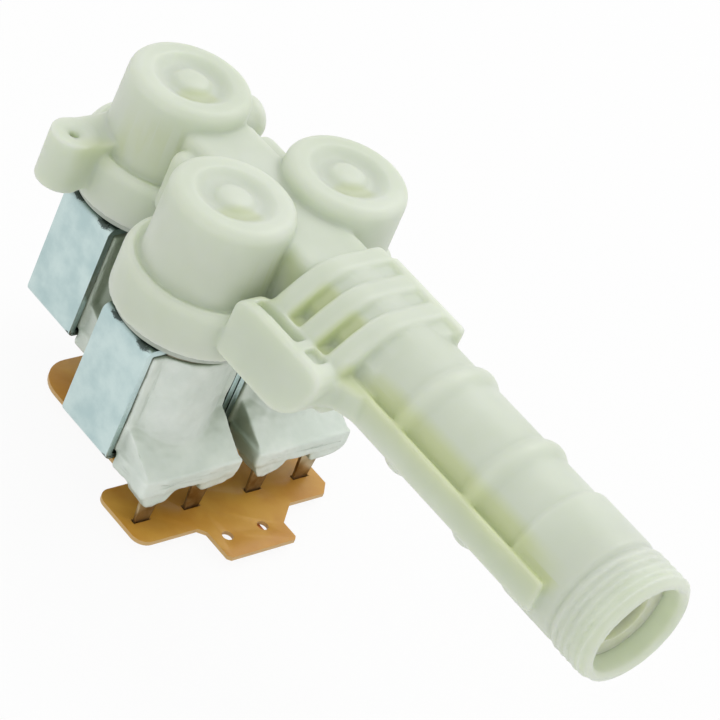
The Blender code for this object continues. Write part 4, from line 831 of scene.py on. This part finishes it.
for label, centre in valves.items():
    guide = lathe(soften(guideProfile, 0.25), centre)
    settle(guide, "guide_" + label, filledNylon, replaced=["guide_tube_" + label],
           smoothAngle=45.0)
    bobbin = lathe(soften(bobbinProfile, 0.25, 3, True), centre, 96, True)
    settle(bobbin, "bobbin_" + label, bobbinPolyester, replaced=["coil_bobbin_" + label],
           smoothAngle=45.0)
    diaphragm = lathe(soften(diaphragmProfile, 0.4, 3, True), centre, 96, True)
    settle(diaphragm, "membrane_" + label, mouldedRubber, replaced=["diaphragm_" + label])
    insert = lathe(soften(insertProfile, 0.2, 3, True), centre, 64, True)
    settle(insert, "core_" + label, filledNylon, "diaphragm_core_" + label,
           ["diaphragm_insert_" + label], 45.0)
    plunger = lathe(soften(plungerProfile, 0.15), centre, 64)
    settle(plunger, "slug_" + label, groundSteel, "plunger_body_" + label,
           ["plunger_" + label], 45.0)
    seal = lathe(soften(sealProfile, 0.2), centre, 48)
    settle(seal, "tip_" + label, mouldedRubber, "plunger_body_" + label,
           ["plunger_seal_" + label], 45.0)

    # one layer of wire is a ring whose outer edge bulges, and the winding is a pile of them
    wire = windingSizes["wire"]
    inner, outer = windingSizes["inner"], windingSizes["outer"]
    middle = (inner + outer) / 2.0
    half, bulge = wire * 0.46, wire * 0.45
    edge = [(outer - (bulge - bulge * math.cos(math.radians(angle))), half * math.sin(math.radians(angle)))
            for angle in range(-75, 76, 30)]
    layer = lathe([(inner, -half), (middle, -half), *edge, (middle, half), (inner, half)], centre, 72, True)
    turns = int((windingSizes["high"] - windingSizes["low"]) / wire)
    winding = row(layer, turns, (0.0, 0.0, windingSizes["low"] + wire / 2.0), (0.0, 0.0, wire),
                  enamelledCopper)
    settle(winding, "winding_" + label, enamelledCopper, replaced=["coil_winding_" + label])

    springRun = springSizes["high"] - springSizes["low"]
    spring = grow(coilTree, {
        "Turns": springSizes["turns"], "Radius": springSizes["radius"], "Height": springRun,
        "Crest": springSizes["wire"], "Reach": 0.1, "Root": 0.1, "Steps": 48, "Round": 10, "Taper": 0.001,
        "Finish": drawnWire})
    spring.data.transform(Matrix.Translation((*centre, springSizes["low"])))
    settle(spring, "return_spring_" + label, drawnWire, replaced=["plunger_spring_" + label])
    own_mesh(spring)
print("valve insides turned")


# Board, terminals and solder

boardSizes = {
    "barHalf": 27.0, "barFront": -22.4, "barBack": -6.2, "barRound": 3.2, "tailHalf": 17.0,
    "tailBack": 30.7, "tailRound": 8.5, "tabLeft": -10.0, "tabRight": 9.1, "tabFront": -31.9,
    "top": -57.8, "bottom": -58.8, "holeRadius": 1.3, "holeY": -26.1, "holeX": (-6.1, 3.7),
    "slotHalf": (2.3, 0.7), "edge": 0.16}


def boardOutline(sizes):
    bar, front, back, bend = sizes["barHalf"], sizes["barFront"], sizes["barBack"], sizes["barRound"]
    left, right, tab = sizes["tabLeft"], sizes["tabRight"], sizes["tabFront"]
    tail, end, turn = sizes["tailHalf"], sizes["tailBack"], sizes["tailRound"]
    return [
        *arc(-bar + bend, front + bend, bend, 180.0, 270.0, 8), (left - 1.5, front), (left, front - 1.5),
        (left, tab + 0.8), (left + 0.8, tab), (right - 0.8, tab), (right, tab + 0.8), (right, front - 4.5),
        (right + 5.4, front), (bar - 2.6, front), (bar, front + 2.6),
        *arc(bar - bend, back - bend, bend, 0.0, 90.0, 8), (tail, back),
        *arc(tail - turn, end - turn, turn, 0.0, 90.0, 10),
        *arc(-tail + turn, end - turn, turn, 90.0, 180.0, 10), (-tail, back),
        *arc(-bar + bend, back - bend, bend, 90.0, 180.0, 8)]


board = slab(boardOutline(boardSizes), boardSizes["bottom"], boardSizes["top"], "Z")
pins = [(placeX + side * coverSizes["pinX"], placeY + coverSizes["pinY"])
        for placeX, placeY in valves.values() for side in (-1.0, 1.0)]
low, high = boardSizes["bottom"] - 1.0, boardSizes["top"] + 1.0
slotX, slotY = boardSizes["slotHalf"]
holes = [block((pinX - slotX, pinY - slotY, low), (pinX + slotX, pinY + slotY, high)) for pinX, pinY in pins]
for holeX in boardSizes["holeX"]:
    place = (holeX, boardSizes["holeY"])
    holes.append(barrel(boardSizes["holeRadius"], (*place, low), (*place, high), 32))
board = fuse([board], holes)
edge = board.modifiers.new("edge", "BEVEL")
edge.width = boardSizes["edge"]
edge.segments = 2
edge.limit_method = "ANGLE"
edge.angle_limit = math.radians(50.0)
settle(bake(board), "laminate_board", paperLaminate, replaced=["circuit_board"],
       smoothAngle=40.0)

# copper below: a pad round each joint, tracks between them and contact fingers on the tab
trackSizes = {"padRadius": 3.3, "width": 2.0, "thickness": 0.07, "fingerWidth": 2.4, "fingers": 5,
              "fingerPitch": 3.6, "fingerMiddle": -0.4, "fingerY": (-31.2, -27.8), "trackEnd": -28.0,
              "commonY": -9.2}
copperLow, copperHigh = boardSizes["bottom"] - trackSizes["thickness"], boardSizes["bottom"] + 0.02
copper = [barrel(trackSizes["padRadius"], (*pin, copperLow), (*pin, copperHigh), 40) for pin in pins]
half, pitch = trackSizes["fingerWidth"] / 2.0, trackSizes["fingerPitch"]
front, back = trackSizes["fingerY"]
finger = slab([(-half, front), (half, front), (half, back), (-half, back)], copperLow, copperHigh)
firstFinger = trackSizes["fingerMiddle"] - pitch * (trackSizes["fingers"] - 1) / 2.0
fingerX = [firstFinger + pitch * index for index in range(trackSizes["fingers"])]
copper.append(row(finger, trackSizes["fingers"], (firstFinger, 0.0, 0.0), (pitch, 0.0, 0.0), lacqueredCopper))


def track(points):
    made = []
    half = trackSizes["width"] / 2.0
    for first, last in zip(points, points[1:]):
        start, end = Vector(first), Vector(last)
        side = (end - start).normalized().orthogonal() * half
        corners = [tuple(start - side), tuple(end - side), tuple(end + side), tuple(start + side)]
        made.append(slab(corners, copperLow, copperHigh))
        made.append(barrel(half, (*last, copperLow), (*last, copperHigh), 24))
    return made


# one side of every coil shares the first three routes
commonY, trackEnd = trackSizes["commonY"], trackSizes["trackEnd"]
routes = [
    [pins[2], (pins[2][0], commonY), (pins[4][0], commonY), pins[4]],
    [pins[0], (pins[0][0], commonY)],
    [(fingerX[2], commonY), (fingerX[2], trackEnd)],
    [pins[3], (fingerX[0], -20.0), (fingerX[0], trackEnd)],
    [pins[5], (18.0, -19.6), (fingerX[4], -19.6), (fingerX[4], trackEnd)],
    [pins[1], (11.6, 12.0), (11.6, -12.6), (fingerX[3], -15.0), (fingerX[3], trackEnd)]]
for route in routes:
    copper += track(route)
settle(fuse(copper), "copper_tracks", lacqueredCopper, smoothAngle=30.0)

bladeSizes = {"half": 2.7, "leg": 2.0, "thickness": 0.8, "top": -46.8, "neck": -50.9, "shoulder": -57.3,
              "tip": -60.8, "chamfer": 0.5, "edge": 0.12}


def bladeOutline(sizes):
    half, leg, tip, chamfer = sizes["half"], sizes["leg"], sizes["tip"], sizes["chamfer"]
    return [(half, sizes["top"]), (-half, sizes["top"]), (-half, sizes["neck"]), (-leg, sizes["shoulder"]),
            (-leg, tip + chamfer), (-leg + chamfer, tip), (leg - chamfer, tip), (leg, tip + chamfer),
            (leg, sizes["shoulder"]), (half, sizes["neck"])]


names = [label + "_" + side for label in valves for side in "ab"]
for name, pin in zip(names, pins):
    half = bladeSizes["thickness"] / 2.0
    blade = slab(bladeOutline(bladeSizes), -half, half, "Y", bladeSizes["edge"], 2, pin)
    settle(blade, "blade_" + name, tinnedBrass, replaced=["terminal_" + name],
           smoothAngle=35.0)

solderSizes = {"radius": 2.9, "tipRadius": 1.15, "height": 1.4, "top": -59.02}


def solderProfile(sizes):
    # a hollow fillet from the pad down to the blade
    radius, height = sizes["radius"], sizes["height"]
    profile = [(0.0, 0.0), (radius, 0.0)]
    for angle in range(10, 91, 10):
        turn = math.radians(angle)
        profile.append((radius - (radius - sizes["tipRadius"]) * math.sin(turn),
                        -height * (1.0 - math.cos(turn))))
    return [*profile, (0.0, -height)]


blob = lathe(solderProfile(solderSizes), steps=36)
holder = bmesh.new()
for pin in pins:
    holder.verts.new((*pin, solderSizes["top"]))
solder = grow(jointTree, {"Form": blob, "Seed": 4, "Finish": tinSolder}, meshObject("solder", holder))
bpy.data.objects.remove(blob, do_unlink=True)
settle(solder, "solder_joints", tinSolder, replaced=["solder_" + name for name in names],
       smoothAngle=50.0)
print("board and terminals made")


# Inlet strainer and flow regulator

strainerSizes = {"rim": 10.1, "basket": 7.2, "front": 111.8, "depth": 9.0, "rimThickness": 1.5,
                 "wall": 0.9, "taper": 1.0, "bars": 7, "barPitch": 1.9, "barWidth": 0.9}
basket, taper, front = strainerSizes["basket"], strainerSizes["taper"], strainerSizes["front"]
bore, rim = basket - strainerSizes["wall"], strainerSizes["rim"]
rimBack = front - strainerSizes["rimThickness"]
floorY = front - strainerSizes["depth"]
shell = [(bore - taper, floorY), (bore, front), (rim, front), (rim, rimBack), (basket, rimBack),
         (basket - taper, floorY)]
strainer = [lathe(soften(shell, 0.25, 3, True), steps=96, closed=True, along="Y")]
half, reach, pitch = strainerSizes["barWidth"] / 2.0, basket - 1.4, strainerSizes["barPitch"]
grids = [
    {"low": (-reach, -floorY - 0.4, -half), "high": (reach, -floorY + 0.5, half), "step": (0.0, 0.0, pitch)},
    {"low": (-half, -floorY - 0.5, -reach), "high": (half, -floorY + 0.4, reach), "step": (pitch, 0.0, 0.0)}]
for grid in grids:
    bar = block(grid["low"], grid["high"], 0.15, 2)
    first = tuple(-part * (strainerSizes["bars"] - 1) / 2.0 for part in grid["step"])
    strainer.append(row(bar, strainerSizes["bars"], first, grid["step"], strainerNylon))

# the bars are kept inside the basket's wall
kept = basket - 1.05
keeper = lathe([(0.0, floorY - 1.0), (kept, floorY - 1.0), (kept, floorY + 1.0), (0.0, floorY + 1.0)],
               steps=64, along="Y")
bars = fuse(strainer[1:])
trim = bars.modifiers.new("trim", "BOOLEAN")
trim.operation = "INTERSECT"
trim.solver = "MANIFOLD"
trim.object = keeper
bake(bars)
bpy.data.objects.remove(keeper, do_unlink=True)
settle(fuse([strainer[0], bars]), "mesh_strainer", strainerNylon,
       replaced=["inlet_strainer"], smoothAngle=40.0)

ringProfile = [(7.9, 96.1), (7.9, 92.1), (3.4, 92.1), (2.6, 94.9), (3.2, 96.1)]
ring = lathe(soften(ringProfile, 0.5, 4, True), steps=72, closed=True, along="Y")
settle(ring, "flow_ring", mouldedRubber, replaced=["regulator_ring"])
print("strainer and ring made")

# Floor, light and camera

studio = {"floorSize": 3.0, "floorSeen": 0.93, "worldLevel": 0.72, "aim": (0.0, 0.0, 0.04),
          "keyPower": 2.3, "keySize": 0.6, "keyPlace": (0.52, 0.10, 0.82),
          "fillPower": 0.6, "fillSize": 0.6, "fillPlace": (-0.75, -0.25, 0.35)}


def seenByEye(tree):
    # 1 for what the camera sees straight, in metal or through glass
    path = addNode(tree, "ShaderNodeLightPath")
    mirrored = addNode(tree, "ShaderNodeMath", {
        0: path.outputs["Is Camera Ray"], 1: path.outputs["Is Glossy Ray"]}, operation="MAXIMUM")
    return addNode(tree, "ShaderNodeMath", {
        0: mirrored.outputs[0], 1: path.outputs["Is Transmission Ray"]}, operation="MAXIMUM").outputs[0]


floorShape = bmesh.new()
bmesh.ops.create_grid(floorShape, x_segments=1, y_segments=1, size=studio["floorSize"] / 2.0)
floor = meshObject("floor", floorShape)
floorMaterial = bpy.data.materials.new("paleFloor")
floorMaterial.use_nodes = True
floorTree = floorMaterial.node_tree
floorShader = floorTree.nodes["Principled BSDF"]
floorShader.inputs["Base Color"].default_value = linear("F4F4F3")
floorShader.inputs["Roughness"].default_value = 0.9
seenShare = addNode(floorTree, "ShaderNodeMath", {0: seenByEye(floorTree), 1: studio["floorSeen"]},
                    operation="MULTIPLY")
glow = addNode(floorTree, "ShaderNodeEmission", {"Color": (1.0, 1.0, 1.0, 1.0), "Strength": 1.0})
floorMix = addNode(floorTree, "ShaderNodeMixShader", {
    0: seenShare.outputs[0], 1: floorShader.outputs[0], 2: glow.outputs[0]})
floorTree.links.new(floorMix.outputs[0], floorTree.nodes["Material Output"].inputs["Surface"])
floor.data.materials.append(floorMaterial)

world = bpy.data.worlds.new("studio")
bpy.context.scene.world = world
world.use_nodes = True
worldTree = world.node_tree
for old in list(worldTree.nodes):
    worldTree.nodes.remove(old)
level = addNode(worldTree, "ShaderNodeMapRange", {
    "Value": seenByEye(worldTree), "To Min": studio["worldLevel"], "To Max": 1.0})
backdrop = addNode(worldTree, "ShaderNodeBackground", {
    "Color": (1.0, 1.0, 1.0, 1.0), "Strength": level.outputs[0]})
addNode(worldTree, "ShaderNodeOutputWorld", {"Surface": backdrop.outputs[0]})


def lamp(name, power, size, place):
    data = bpy.data.lights.new(name, "AREA")
    data.energy = power
    data.size = size
    made = bpy.data.objects.new(name, data)
    made.location = place
    made.rotation_euler = (Vector(studio["aim"]) - Vector(place)).to_track_quat("-Z", "Y").to_euler()
    bpy.context.scene.collection.objects.link(made)


lamp("keyLight", studio["keyPower"], studio["keySize"], studio["keyPlace"])
lamp("fillLight", studio["fillPower"], studio["fillSize"], studio["fillPlace"])

# the view that the photograph was taken from: a long lens, 12 degrees over the frame, that looks
# along a heading, down by the fall, and rolled about its own line of sight
view = {"place": (-457.10, -350.37, 382.77), "lens": 171.26, "heading": 34.780, "fall": 34.828,
        "roll": 25.469}
cameraData = bpy.data.cameras.new("camera")
cameraData.lens = view["lens"]
cameraData.sensor_width = 36.0
cameraData.clip_start = 0.01
camera = bpy.data.objects.new("camera", cameraData)
turn = (Matrix.Rotation(math.radians(view["heading"] - 90.0), 4, "Z")
        @ Matrix.Rotation(math.radians(90.0 - view["fall"]), 4, "X")
        @ Matrix.Rotation(math.radians(view["roll"]), 4, "Z"))
camera.matrix_world = Matrix.Translation(toFrame @ Vector(view["place"])) @ turn
bpy.context.scene.collection.objects.link(camera)
bpy.context.scene.camera = camera
bpy.context.scene.view_settings.view_transform = "Standard"
